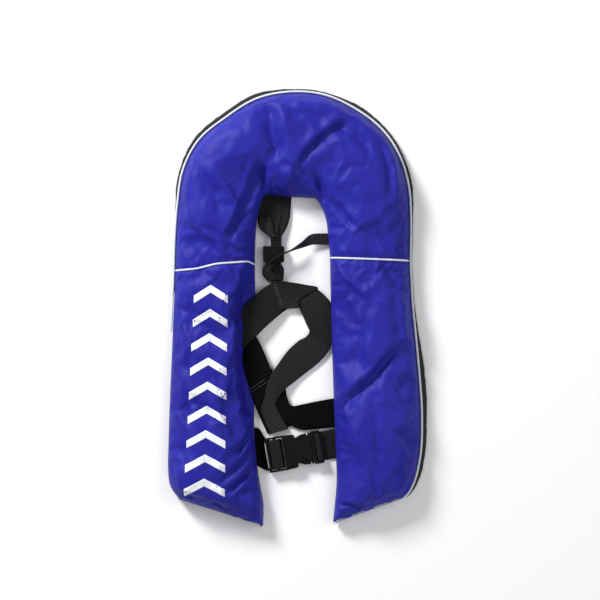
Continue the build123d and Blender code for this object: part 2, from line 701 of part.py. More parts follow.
# Prongs: spring arms with a thumb pad in each window.
PRONG_Z = (3.6, 10.6)
for prong_name, side in (("buckle_prong_upper", 1), ("buckle_prong_lower", -1)):
    with BuildPart() as prong:
        with BuildSketch(buckle_plane(PRONG_Z[0])):
            with BuildLine():
                Polyline(
                    (PRONG_ROOT_U, side * 12.4), (PRONG_ROOT_U, side * 16.0), (14.6, side * 16.8),
                    (13.6, side * 20.2), (6, side * 19.6), (-1.0, side * 16.4), (PRONG_TIP_U, side * 14.0),
                    (PRONG_TIP_U, side * 10.6), close=True,
                )
            make_face()
        extrude(amount=PRONG_Z[1] - PRONG_Z[0])
    write(prong.part, prong_name)

# Right belt: looped round the male bar, then flat under the right lobe.
BELT_LOW = BELT_Z - WEBBING_T / 2
BELT_HALF = WEBBING_W / 2
BELT_RIGHT_END = 118.0
LOOP_U = FLANGE_U + 4.0
with BuildPart() as waist_belt_right:
    add(belt_block((LOOP_U, BELT_RIGHT_END), (-BELT_HALF, BELT_HALF), BELT_LOW, BELT_LOW + WEBBING_T))
    add(belt_block((LOOP_U, LOOP_U + WEBBING_T), (-BELT_HALF, BELT_HALF), BELT_LOW, 11.4))
    add(belt_block((LOOP_U, FLANGE_END - 0.4), (-BELT_HALF, BELT_HALF), 10.0, 11.4))
write(waist_belt_right.part, "waist_belt_right")

# Left belt: flat from under the left lobe to the adjuster, where it rises round the bar.
BELT_LEFT_END = -122.0
with BuildPart() as waist_belt_left:
    with BuildSketch(Plane.XY.offset(BELT_LOW)):
        with BuildLine():
            Polyline(from_buckle(ADJUSTER_END + 5, BELT_HALF, 0)[:2], (-62, -166), (BELT_LEFT_END, -166),
                     (BELT_LEFT_END, -204), (-60, -204), from_buckle(ADJUSTER_END + 5, -BELT_HALF, 0)[:2],
                     close=True)
        make_face()
    extrude(amount=WEBBING_T)
    add(belt_block((ADJUSTER_END + 4.6, ADJUSTER_END + 6), (-BELT_HALF, BELT_HALF), BELT_LOW, 12.2))
    add(belt_block((ADJUSTER_END + 4.6, -FEMALE_HALF - 2.2), (-BELT_HALF, BELT_HALF), 10.8, 12.2))
    add(belt_block((-FEMALE_HALF - 3.6, -FEMALE_HALF - 2.2), (-BELT_HALF, BELT_HALF), 3.4, 12.2))
write(waist_belt_left.part, "waist_belt_left")

with BuildPart() as belt_keeper_roll:
    add(belt_block((-FEMALE_HALF - 16.2, -FEMALE_HALF - 5.0), (-BELT_HALF, BELT_HALF), 3.6, 10.5))
    roll_bore_u = (-FEMALE_HALF - 12.2, -FEMALE_HALF - 7.8)
    roll_bore = belt_block(roll_bore_u, (-BELT_HALF - 1, BELT_HALF + 1), 4.6, 9.4)
    add(roll_bore, mode=Mode.SUBTRACT)
write(belt_keeper_roll.part, "belt_keeper_roll")
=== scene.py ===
from math import cos, pi, radians, sin
import bmesh
import bpy
import numpy as np
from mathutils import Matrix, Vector, noise
from mathutils.bvhtree import BVHTree


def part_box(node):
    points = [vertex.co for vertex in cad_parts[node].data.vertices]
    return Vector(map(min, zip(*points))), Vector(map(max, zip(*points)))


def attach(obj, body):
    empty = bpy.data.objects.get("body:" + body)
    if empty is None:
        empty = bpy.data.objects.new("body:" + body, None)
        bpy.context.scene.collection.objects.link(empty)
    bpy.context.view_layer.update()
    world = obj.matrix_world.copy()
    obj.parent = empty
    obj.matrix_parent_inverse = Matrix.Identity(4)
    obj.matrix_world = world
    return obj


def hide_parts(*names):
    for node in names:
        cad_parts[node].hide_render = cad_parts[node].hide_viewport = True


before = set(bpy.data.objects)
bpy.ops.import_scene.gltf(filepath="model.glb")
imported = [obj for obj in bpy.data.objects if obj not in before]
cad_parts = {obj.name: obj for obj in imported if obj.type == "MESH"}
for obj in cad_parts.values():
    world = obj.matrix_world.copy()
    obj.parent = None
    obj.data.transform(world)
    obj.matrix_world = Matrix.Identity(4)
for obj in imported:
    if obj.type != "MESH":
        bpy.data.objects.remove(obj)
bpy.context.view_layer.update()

MM = 0.001

# ---- Camera, floor and light ----
VIEW_CENTRE = (5.2 * MM, 10.4 * MM)
VIEW_WIDTH = 0.780
CAMERA_HEIGHT = 3.2
LENS = 36 * (CAMERA_HEIGHT - 0.02) / VIEW_WIDTH


def new_object(name, mesh):
    """A linked object around a mesh."""
    obj = bpy.data.objects.new(name, mesh)
    bpy.context.scene.collection.objects.link(obj)
    return obj


def set_camera():
    """A long lens straight above the jacket."""
    data = bpy.data.cameras.new("camera")
    data.lens = LENS
    data.clip_end = 20
    camera = new_object("camera", data)
    camera.location = (VIEW_CENTRE[0], VIEW_CENTRE[1], CAMERA_HEIGHT)
    bpy.context.scene.camera = camera


def area_light(name, place, target, size, power):
    """A soft square light aimed at a point."""
    data = bpy.data.lights.new(name, "AREA")
    data.size = size
    data.energy = power
    lamp = new_object(name, data)
    lamp.location = place
    lamp.rotation_euler = (Vector(target) - Vector(place)).to_track_quat("-Z", "Y").to_euler()


def set_studio():
    """A plain pale floor, pale surroundings and soft lights."""
    mesh = bpy.data.meshes.new("floor")
    mesh.from_pydata([(-6, -6, 0), (6, -6, 0), (6, 6, 0), (-6, 6, 0)], [], [(0, 1, 2, 3)])
    floor = new_object("floor", mesh)
    material = bpy.data.materials.new("floor_white")
    material.use_nodes = True
    shader = material.node_tree.nodes["Principled BSDF"]
    shader.inputs["Base Color"].default_value = (0.92, 0.92, 0.93, 1)
    shader.inputs["Roughness"].default_value = 0.9
    mesh.materials.append(material)
    world = bpy.data.worlds.new("studio")
    world.use_nodes = True
    world.node_tree.nodes["Background"].inputs["Color"].default_value = (1, 1, 1, 1)
    world.node_tree.nodes["Background"].inputs["Strength"].default_value = 0.30
    bpy.context.scene.world = world
    bpy.context.scene.view_settings.view_transform = "Standard"
    area_light("key", (-1.3, 1.5, 1.25), (0, 0, 0), 0.6, 68)
    area_light("fill", (1.6, 0.4, 1.9), (0, 0, 0), 1.2, 13)
    area_light("low", (0.3, -1.8, 1.5), (0, 0, 0), 1.2, 11)


set_camera()
set_studio()


# ---- Materials ----
class Nodes:
    """A short hand for building one material's node tree."""

    def __init__(self, name):
        self.material = bpy.data.materials.new(name)
        self.material.use_nodes = True
        self.tree = self.material.node_tree
        self.shader = self.tree.nodes["Principled BSDF"]

    def add(self, kind, **values):
        """A node with its sockets set by name and its properties by attribute."""
        node = self.tree.nodes.new(kind)
        for key, value in values.items():
            if key in node.inputs:
                node.inputs[key].default_value = value
            else:
                setattr(node, key, value)
        return node

    def link(self, out, socket):
        """Joins an output to an input."""
        self.tree.links.new(out, socket)

    def metres(self, uv=False):
        """Object or UV coordinates, both in metres."""
        node = self.add("ShaderNodeTexCoord")
        return node.outputs["UV"] if uv else node.outputs["Object"]

    def noise(self, vector, scale, detail=3.0, rough=0.55):
        """Cloudy noise, 0 to 1."""
        node = self.add("ShaderNodeTexNoise", Scale=scale, Detail=detail, Roughness=rough)
        self.link(vector, node.inputs["Vector"])
        return node.outputs["Fac"]

    def wave(self, vector, scale, direction):
        """Even bands along one direction, 0 to 1."""
        node = self.add("ShaderNodeTexWave", Scale=scale, Distortion=0.0, bands_direction=direction)
        self.link(vector, node.inputs["Vector"])
        return node.outputs["Fac"]

    def ramp(self, fac, stops):
        """A colour that runs through (place, colour) stops as fac grows."""
        node = self.add("ShaderNodeValToRGB")
        ramp = node.color_ramp
        while len(ramp.elements) < len(stops):
            ramp.elements.new(0.5)
        for element, (at, colour) in zip(ramp.elements, stops):
            element.position = at
            element.color = (*colour, 1)
        self.link(fac, node.inputs["Fac"])
        return node.outputs["Color"]

    def between(self, fac, low, high):
        """A number that runs from low to high as fac runs from 0 to 1."""
        node = self.add("ShaderNodeMapRange")
        node.inputs["To Min"].default_value = low
        node.inputs["To Max"].default_value = high
        self.link(fac, node.inputs["Value"])
        return node.outputs["Result"]

    def math(self, kind, first, second):
        """One sum of two numbers or sockets."""
        node = self.add("ShaderNodeMath", operation=kind)
        for socket, value in zip(node.inputs, (first, second)):
            if isinstance(value, (int, float)):
                socket.default_value = value
            else:
                self.link(value, socket)
        return node.outputs[0]

    def bump(self, height, strength, distance, before=None):
        """A normal raised by a height, on top of an earlier normal."""
        node = self.add("ShaderNodeBump", Strength=strength, Distance=distance)
        self.link(height, node.inputs["Height"])
        if before is not None:
            self.link(before, node.inputs["Normal"])
        return node.outputs["Normal"]

    def finish(self, colour, roughness, normal):
        """Links the shader's three varying sockets and returns the material."""
        self.link(colour, self.shader.inputs["Base Color"])
        self.link(roughness, self.shader.inputs["Roughness"])
        self.link(normal, self.shader.inputs["Normal"])
        return self.material


def nylon_material():
    """Woven royal-blue nylon with a soft gloss and fine creasing."""
    n = Nodes("blue_nylon")
    place = n.metres()
    broad = n.noise(place, 9.0, 4.0)
    colour = n.ramp(broad, [
        (0.25, (0.013, 0.013, 0.250)), (0.55, (0.017, 0.017, 0.292)), (0.8, (0.022, 0.023, 0.335)),
    ])
    weave = n.math("MULTIPLY", n.wave(place, 620, "X"), n.wave(place, 620, "Y"))
    crumple = n.noise(place, 38.0, 6.0, 0.62)
    fine = n.noise(place, 160.0, 4.0, 0.6)
    normal = n.bump(crumple, 0.22, 0.0030)
    normal = n.bump(fine, 0.16, 0.0008, normal)
    normal = n.bump(weave, 0.20, 0.00015, normal)
    roughness = n.between(n.noise(place, 55.0, 3.0), 0.46, 0.58)
    n.shader.inputs["Sheen Weight"].default_value = 0.03
    n.shader.inputs["Sheen Roughness"].default_value = 0.4
    n.shader.inputs["Sheen Tint"].default_value = (0.55, 0.58, 1.0, 1)
    n.shader.inputs["Specular IOR Level"].default_value = 0.16
    return n.finish(colour, roughness, normal)


def webbing_material(name="black_webbing", base=(0.0075, 0.0075, 0.0088), lift=1.7, gloss=0.22):
    """Ribbed polyester webbing: ribs run across, set by the UV's length in metres."""
    n = Nodes(name)
    uv = n.metres(uv=True)
    ribs = n.wave(uv, 118, "Y")
    threads = n.wave(uv, 420, "X")
    mottled = n.noise(n.metres(), 300.0, 3.0)
    dark = tuple(c * 0.7 for c in base)
    light = tuple(c * lift for c in base)
    colour = n.ramp(n.math("MULTIPLY", ribs, mottled), [(0.1, dark), (0.35, base), (0.8, light)])
    normal = n.bump(ribs, 0.9, 0.0007)
    normal = n.bump(threads, 0.3, 0.0002, normal)
    normal = n.bump(n.noise(n.metres(), 900.0, 2.0), 0.2, 0.0002, normal)
    roughness = n.between(mottled, 0.55, 0.75)
    n.shader.inputs["Specular IOR Level"].default_value = gloss
    return n.finish(colour, roughness, normal)


def plastic_material(name, colour_low, colour_high, rough=(0.32, 0.46), gloss=0.5):
    """Moulded plastic with a fine spark-eroded texture."""
    n = Nodes(name)
    place = n.metres()
    colour = n.ramp(n.noise(place, 60.0, 3.0), [(0.3, colour_low), (0.7, colour_high)])
    normal = n.bump(n.noise(place, 900.0, 2.0), 0.18, 0.0002)
    normal = n.bump(n.noise(place, 120.0, 3.0), 0.08, 0.0005, normal)
    n.shader.inputs["Specular IOR Level"].default_value = gloss
    return n.finish(colour, n.between(n.noise(place, 200.0, 3.0), *rough), normal)


def pile_material():
    """Hook-and-loop pile: black, rough and fuzzy."""
    n = Nodes("hook_and_loop_pile")
    place = n.metres()
    loops = n.noise(place, 900.0, 5.0, 0.75)
    colour = n.ramp(loops, [(0.3, (0.006, 0.006, 0.007)), (0.7, (0.03, 0.03, 0.033))])
    normal = n.bump(loops, 0.9, 0.0012)
    n.shader.inputs["Sheen Weight"].default_value = 0.3
    return n.finish(colour, n.between(loops, 0.8, 0.95), normal)


def mesh_cloth_material():
    """Spacer mesh of the back panel: black knit with small round holes."""
    n = Nodes("black_spacer_mesh")
    place = n.metres()
    cells = n.add("ShaderNodeTexVoronoi", Scale=330.0, Randomness=0.15)
    n.link(place, cells.inputs["Vector"])
    holes = cells.outputs["Distance"]
    colour = n.ramp(holes, [(0.12, (0.003, 0.003, 0.004)), (0.42, (0.022, 0.022, 0.025))])
    normal = n.bump(holes, 0.8, 0.0009)
    normal = n.bump(n.noise(place, 700.0, 3.0), 0.2, 0.0002, normal)
    return n.finish(colour, n.between(n.noise(place, 40.0), 0.7, 0.85), normal)


def braid_material(name, low, high):
    """Woven cord or tape in a pale thread."""
    n = Nodes(name)
    place = n.metres()
    strands = n.math("MULTIPLY", n.wave(place, 500, "DIAGONAL"), n.wave(place, 430, "X"))
    colour = n.ramp(n.noise(place, 90.0, 3.0), [(0.3, low), (0.7, high)])
    normal = n.bump(strands, 0.5, 0.0003)
    return n.finish(colour, n.between(n.noise(place, 300.0), 0.5, 0.7), normal)


def print_material():
    """White reflective transfer film, rubbed thin in spots."""
    n = Nodes("reflective_film")
    place = n.metres()
    beads = n.noise(place, 1400.0, 2.0)
    marking = n.noise(place, 75.0, 5.0, 0.7)
    colour = n.ramp(marking, [(0.28, (0.55, 0.58, 0.68)), (0.4, (0.80, 0.83, 0.88)), (0.8, (0.86, 0.88, 0.92))])
    normal = n.bump(beads, 0.2, 0.0001)
    normal = n.bump(n.noise(place, 60.0, 4.0), 0.25, 0.0008, normal)
    return n.finish(colour, n.between(beads, 0.42, 0.6), normal)


def metal_material(name, low, high):
    """Plated or turned metal with fine marks."""
    n = Nodes(name)
    place = n.metres()
    colour = n.ramp(n.noise(place, 80.0, 4.0), [(0.3, low), (0.7, high)])
    n.shader.inputs["Metallic"].default_value = 1.0
    roughness = n.between(n.noise(place, 260.0, 4.0), 0.25, 0.45)
    return n.finish(colour, roughness, n.bump(n.noise(place, 500.0), 0.1, 0.0002))


def coated_material(name, low, high):
    """Coated bladder cloth or moulded rubber."""
    n = Nodes(name)
    place = n.metres()
    colour = n.ramp(n.noise(place, 30.0, 4.0), [(0.3, low), (0.7, high)])
    normal = n.bump(n.noise(place, 110.0, 5.0), 0.3, 0.0012)
    return n.finish(colour, n.between(n.noise(place, 200.0), 0.45, 0.7), normal)


NYLON = nylon_material()
WEBBING = webbing_material()
# Lit and shaded copies of one webbing: the darker copy is painted shade for straps that lie in shadow, and
# the lighter one is a painted highlight for webbing that catches the light.
SHADED_WEBBING = webbing_material("shaded_webbing", (0.0030, 0.0030, 0.0040), 1.6, 0.05)
LIT_WEBBING = webbing_material("lit_webbing", (0.0105, 0.0105, 0.0125), 1.7, 0.26)
PALE_WEBBING = webbing_material("grey_tape", (0.014, 0.014, 0.016), 1.8)
ACETAL = plastic_material(
    "black_acetal", (0.0028, 0.0028, 0.0036), (0.005, 0.005, 0.006), (0.36, 0.48), gloss=0.16
)
# Pale plastic used only for painted highlight lines along the buckle's edges.
PALE_EDGE = plastic_material("painted_highlight_edge", (0.30, 0.30, 0.32), (0.42, 0.42, 0.44), (0.35, 0.5))
PILE = pile_material()
MESH = mesh_cloth_material()
BRAID = braid_material("white_braid", (0.62, 0.66, 0.74), (0.74, 0.78, 0.84))
THREAD = braid_material("black_thread", (0.03, 0.03, 0.034), (0.05, 0.05, 0.055))
PALE_THREAD = braid_material("grey_thread", (0.10, 0.10, 0.11), (0.17, 0.17, 0.18))
BINDING = braid_material("dark_binding", (0.035, 0.036, 0.05), (0.07, 0.072, 0.09))
FILM = print_material()
STEEL = metal_material("plated_steel", (0.45, 0.46, 0.48), (0.62, 0.63, 0.65))
BRASS = metal_material("turned_brass", (0.62, 0.46, 0.2), (0.78, 0.6, 0.3))
YELLOW = coated_material("bladder_yellow", (0.72, 0.55, 0.02), (0.85, 0.68, 0.04))
RUBBER = coated_material("black_rubber", (0.012, 0.012, 0.013), (0.025, 0.025, 0.027))
RED = plastic_material("red_handle", (0.45, 0.015, 0.015), (0.6, 0.03, 0.025))
ORANGE = plastic_material("orange_whistle", (0.75, 0.17, 0.01), (0.85, 0.25, 0.02))

CARRIED = {
    "bladder": YELLOW, "inflator_stem": BRASS, "cap_nut": BRASS, "stem_gasket_lower": RUBBER,
    "stem_gasket_upper": RUBBER, "cylinder_gasket": RUBBER, "co2_cylinder": STEEL, "lever_pin": STEEL,
    "piercing_pin": STEEL, "pin_spring": STEEL, "poppet_spring": STEEL, "inflator_body": ACETAL,
    "pull_lever": ACETAL, "pull_handle": RED, "pull_lanyard": THREAD, "oral_tube": RUBBER,
    "oral_tube_base": RUBBER, "mouthpiece": ACETAL, "dust_cap": ACETAL, "valve_poppet": ACETAL,
    "whistle": ORANGE, "belt_sleeve_left": MESH, "belt_sleeve_right": MESH,
}
for node_name, material in CARRIED.items():
    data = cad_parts[node_name].data
    data.materials.clear()
    data.materials.append(material)


# ---- Shapes shared by several pieces ----
def smooth_path(points, count):
    """Points evenly numbered along a smooth line through the given points."""
    points = np.array(points, float)
    padded = np.vstack([2 * points[0] - points[1], points, 2 * points[-1] - points[-2]])
    at = np.linspace(0, len(points) - 1, count)
    i = np.minimum(at.astype(int), len(points) - 2)
    f = (at - i)[:, None]
    a, b, c, d = padded[i], padded[i + 1], padded[i + 2], padded[i + 3]
    curve = 2 * b + (c - a) * f + (2 * a - 5 * b + 4 * c - d) * f ** 2 + (3 * b - a - 3 * c + d) * f ** 3
    return 0.5 * curve


def running_length(points, axis):
    """How far each point of a grid lies along one of its axes, from 0."""
    steps = np.cumsum(np.linalg.norm(np.diff(points, axis=axis), axis=2), axis=axis)
    return np.concatenate([np.zeros_like(np.take(steps, [0], axis)), steps], axis=axis)


def grid_mesh(name, sheets, material):
    """A closed mesh of a top grid and an under grid, with UVs in metres along the top."""
    top, under = sheets
    rows, columns = top.shape[:2]
    verts = np.vstack([top.reshape(-1, 3), under.reshape(-1, 3)])
    shift = rows * columns
    faces = []
    for i in range(rows - 1):
        for j in range(columns - 1):
            a = i * columns + j
            faces.append((a, a + 1, a + columns + 1, a + columns))
            faces.append((a + shift, a + columns + shift, a + columns + 1 + shift, a + 1 + shift))
        for a, flip in ((i * columns, True), (i * columns + columns - 1, False)):
            ring = (a, a + columns, a + columns + shift, a + shift)
            faces.append(ring if flip else ring[::-1])
    for i, flip in ((0, False), (rows - 1, True)):
        for j in range(columns - 1):
            a = i * columns + j
            ring = (a, a + shift, a + 1 + shift, a + 1)
            faces.append(ring[::-1] if flip else ring)
    mesh = bpy.data.meshes.new(name)
    mesh.from_pydata([tuple(v) for v in verts], [], faces)
    across = running_length(top, 1)
    along = np.repeat(running_length(top, 0).mean(axis=1, keepdims=True), columns, axis=1)
    uv_values = np.tile(np.stack([across, along], axis=2).reshape(-1, 2), (2, 1))
    layer = mesh.uv_layers.new(name="metres")
    loops = np.empty(len(mesh.loops), dtype=np.int32)
    mesh.loops.foreach_get("vertex_index", loops)
    layer.data.foreach_set("uv", uv_values[loops].astype(np.float32).ravel())
    mesh.polygons.foreach_set("use_smooth", [True] * len(mesh.polygons))
    bm = bmesh.new()
    bm.from_mesh(mesh)
    bmesh.ops.recalc_face_normals(bm, faces=bm.faces)
    bm.to_mesh(mesh)
    bm.free()
    mesh.materials.append(material)
    return new_object(name, mesh)


def slab(name, grid, high, low, material):
    """A closed mesh between two heights over a grid of plan points, all in millimetres."""
    return grid_mesh(name, (np.dstack([grid, high]) * MM, np.dstack([grid, low]) * MM), material)


def noise_over(points, place):
    """Noise at each point of a plan grid, taken where a function of x and y says."""
    values = [noise.noise(place(x, y)) for x, y in points.reshape(-1, 2)]
    return np.array(values).reshape(points.shape[:2])


def tube(name, path, radius, material, sides=10, squash=1.0):
    """A closed tube along points, with rounded ends."""
    path = np.array(path, float)
    tangent = np.gradient(path, axis=0)
    tangent /= np.linalg.norm(tangent, axis=1)[:, None]
    side = np.cross(tangent, (0, 0, 1.0))
    side /= np.maximum(np.linalg.norm(side, axis=1), 1e-9)[:, None]
    rise = np.cross(side, tangent)
    verts = []
    faces = []
    count = len(path)
    for k in range(count):
        taper = 1.0 if 0 < k < count - 1 else 0.35
        for s in range(sides):
            angle = 2 * pi * s / sides
            verts.append(path[k] + radius * taper * (cos(angle) * side[k] + squash * sin(angle) * rise[k]))
    for k in range(count - 1):
        for s in range(sides):
            a = k * sides + s
            b = k * sides + (s + 1) % sides
            faces.append((a, b, b + sides, a + sides))
    faces.append(tuple(range(sides))[::-1])
    faces.append(tuple(range((count - 1) * sides, count * sides)))
    mesh = bpy.data.meshes.new(name)
    mesh.from_pydata([tuple(v) for v in verts], [], faces)
    mesh.polygons.foreach_set("use_smooth", [True] * len(mesh.polygons))
    mesh.materials.append(material)
    return new_object(name, mesh)


def join(name, objects):
    """One object out of several mesh objects."""
    bm = bmesh.new()
    materials = []
    for obj in objects:
        start = len(bm.faces)
        bm.from_mesh(obj.data)
        bm.faces.ensure_lookup_table()
        material = obj.data.materials[0]
        if material not in materials:
            materials.append(material)
        for face in bm.faces[start:]:
            face.material_index = materials.index(material)
        bpy.data.objects.remove(obj)
    mesh = bpy.data.meshes.new(name)
    bm.to_mesh(mesh)
    bm.free()
    for material in materials:
        mesh.materials.append(material)
    return new_object(name, mesh)


STITCH_PITCH = 3.4
STITCH_LENGTH = 2.3
STITCH_R = 0.33


def stitches(path):
    """A row of thread stitches along points in millimetres, as short capsules."""
    path = np.array(path, float)
    steps = np.linalg.norm(np.diff(path, axis=0), axis=1)
    run = np.concatenate([[0], np.cumsum(steps)])
    parts = []
    for k in range(int(run[-1] / STITCH_PITCH)):
        start = k * STITCH_PITCH
        ends = [start, start + STITCH_LENGTH / 2, start + STITCH_LENGTH]
        points = np.array([[np.interp(e, run, path[:, axis]) for axis in range(3)] for e in ends])
        points[:, 2] += (0.1, 0.25, 0.1)
        parts.append(tube("stitch", points * MM, STITCH_R * MM, PALE_THREAD, sides=6))
    return join("thread_row", parts)


# ---- Cover: a stuffed U-shaped form, in the row's frame and millimetres ----
# Pairs of points on the outer edge and the gap's edge, from the left tip over the neck to the right tip.
OUTER_EDGE = [
    (-152, -250), (-164, -232), (-167, -208), (-166.5, -180), (-165.5, -145), (-164, -105), (-162, -60),
    (-160, -9), (-158.5, 22), (-157.5, 48.6), (-156, 92), (-153, 132), (-146, 178), (-126, 217),
    (-93, 245), (-51, 271), (-5, 280), (40, 275), (83, 254), (114, 228), (134, 196), (145, 158),
    (148, 115), (147.3, 61.5), (148.5, 35), (150, 6), (154, -35), (157.5, -72), (161, -115), (162, -142),
    (161.3, -180), (156, -213), (148, -235), (138, -247),
]
GAP_EDGE = [
    (-43, -284), (-42.5, -256), (-47, -230), (-52, -195), (-54.5, -155), (-54.5, -115), (-54, -65),
    (-53.3, -15), (-53.3, 25), (-53.6, 56.5), (-53, 85), (-51.5, 108), (-47.5, 131), (-40, 147),
    (-28, 147.5), (-15, 145.5), (-2, 144.5), (8, 144), (17, 143.5), (26, 142), (34, 130), (39.5, 113),
    (42, 92), (44.2, 65.3), (44.8, 35), (45.5, 5), (46.7, -40), (48, -84), (49.7, -130), (51, -160),
    (52, -188), (53, -225), (50.5, -258), (48.3, -279),
]
SEAM_STATION_LEFT = 9
SEAM_STATION_RIGHT = 23
ROWS_PER_STATION = 11
COLUMNS = 49
ROWS = (len(OUTER_EDGE) - 1) * ROWS_PER_STATION + 1
EDGE_Z = 7.6
UNDER_Z = 6.2
CROWN_H = 32.5
CROWN_R = 50.0
PRESSED_Z = 8.6
COVER_MAX_Z = 47.0

outer_rows = smooth_path(OUTER_EDGE, ROWS)
gap_rows = smooth_path(GAP_EDGE, ROWS)
across_t = np.linspace(0, 1, COLUMNS)
# Columns crowd towards both edges, where the cloth turns.
across_t = 0.5 - 0.5 * np.cos(pi * (0.15 + 0.70 * across_t)) / cos(pi * 0.15)
plan = outer_rows[:, None, :] * (1 - across_t)[None, :, None] + gap_rows[:, None, :] * across_t[None, :, None]

# The left cross seam runs in a slight S.
seam_row = SEAM_STATION_LEFT * ROWS_PER_STATION
rows_away = (np.arange(ROWS) - seam_row) / 26.0
swing = np.clip((across_t - 0.22) / 0.36, 0, 1)
swing = 4.6 * swing * swing * (3 - 2 * swing) * np.clip((1 - across_t) / 0.08, 0, 1)
plan[:, :, 1] += np.exp(-rows_away ** 2)[:, None] * swing[None, :]


def distance_to(points, line):
    """The distance from each point to a line of points, in the plan."""
    flat = points.reshape(-1, 2)
    line = np.array(line, float)
    best = np.full(len(flat), 1e9)
    for a, b in zip(line[:-1], line[1:]):
        step = b - a
        f = np.clip(((flat - a) @ step) / max(step @ step, 1e-9), 0, 1)
        best = np.minimum(best, np.linalg.norm(flat - a - f[:, None] * step, axis=1))
    return best.reshape(points.shape[:2])


def along_line(points, line):
    """How far along a line each point lies, 0 to 1, and its signed offset to the line's left."""
    flat = points.reshape(-1, 2)
    line = np.array(line, float)
    lengths = np.linalg.norm(np.diff(line, axis=0), axis=1)
    run = np.concatenate([[0], np.cumsum(lengths)])
    best = np.full(len(flat), 1e9)
    where = np.zeros(len(flat))
    signed = np.zeros(len(flat))
    for k, (a, b) in enumerate(zip(line[:-1], line[1:])):
        step = b - a
        f = np.clip(((flat - a) @ step) / max(step @ step, 1e-9), 0, 1)
        off = flat - a - f[:, None] * step
        dist = np.linalg.norm(off, axis=1)
        side = np.sign(step[0] * off[:, 1] - step[1] * off[:, 0])
        closer = dist < best
        best[closer] = dist[closer]
        signed[closer] = (dist * side)[closer]
        where[closer] = ((run[k] + f * lengths[k]) / run[-1])[closer]
    shape = points.shape[:2]
    return where.reshape(shape), signed.reshape(shape), best.reshape(shape)


# Creases: line, depth, half width, and the ridge thrown up on the line's left side.
CREASES = [
    ([(-36, 262), (-30, 225), (-22, 186)], 7.5, 11.0, 3.5),
    ([(-41, 185), (-42, 165), (-40, 148)], 9.0, 6.0, 1.5),
    ([(4, 184), (32, 214), (66, 240)], 5.5, 7.0, 3.0),
    ([(50, 232), (72, 222), (96, 202)], 4.5, 8.0, -2.0),
    ([(108, 210), (117, 180), (121, 146)], 4.0, 7.0, 2.5),
    ([(25, 168), (33, 152), (40, 136)], 8.0, 5.0, 2.0),
    ([(42, 142), (58, 124), (74, 104)], 3.6, 4.5, 2.0),
    ([(-43, 182), (-56, 150), (-74, 112), (-88, 84)], 5.5, 6.5, -3.5),
    ([(-88, 84), (-76, 74), (-60, 74)], 3.0, 3.6, 1.5),
    ([(-90, 88), (-104, 98), (-118, 106)], 2.6, 4.5, 1.2),
    ([(-20, 186), (0, 176), (18, 168)], 2.6, 6.0, 1.5),
    ([(-124, 180), (-104, 150), (-92, 120)], 3.0, 10.0, 2.5),
    ([(-10, 250), (20, 246), (44, 240)], 2.6, 8.0, 2.0),
    ([(98, 24), (86, -30), (64, -88)], 4.2, 10.0, 3.5),
    ([(130, -52), (98, -92), (57, -134)], 4.6, 8.5, -3.2),
    ([(99, -94), (104, -150), (107, -208)], 3.4, 7.0, 2.2),
    ([(96, -208), (100, -224), (104, -238)], 3.0, 2.8, 1.0),
    ([(60, -258), (98, -254), (136, -238)], 2.4, 5.0, 1.4),
    ([(124, 30), (128, -20), (136, -60)], 2.6, 8.0, 2.0),
    ([(72, 52), (78, 10), (70, -40)], 2.4, 9.0, -2.0),
    ([(-112, 30), (-110, -60), (-116, -170)], 2.6, 11.0, 2.0),
    ([(-138, 10), (-140, -90), (-142, -190)], 2.2, 7.0, -1.6),
    ([(-58, -162), (-66, -174), (-76, -188)], 5.0, 3.6, 2.4),
    ([(-57, -206), (-66, -220), (-84, -236)], 4.0, 4.0, 2.2),
    ([(-56, -182), (-72, -204), (-96, -222)], 2.6, 5.0, 1.6),
    ([(-152, -240), (-120, -246), (-86, -258)], 2.6, 5.0, 1.6),
    ([(-60, 40), (-76, 12), (-84, -30)], 2.6, 6.0, 1.6),
    ([(-84, -60), (-80, -110), (-66, -150)], 3.0, 6.0, 2.2),
]
CREASE_GAIN = 1.5
# Puffs: centre, height and radius.
PUFFS = [
    ((-8, 170), 6.0, 14.0), ((-60, 215), 3.0, 34.0), ((20, 200), 2.0, 20.0), ((95, 165), 3.0, 26.0),
    ((-120, 110), 2.5, 26.0), ((70, 170), 2.6, 22.0), ((110, -20), 2.5, 26.0), ((84, -170), 2.4, 24.0),
    ((-100, -120), 1.5, 30.0),
]
# Where the left back strap lies on the lobe's inner rim.
STRAP_BED = [(-56, 22), (-60, 6), (-62, -20), (-62, -56), (-58, -90), (-54, -130)]


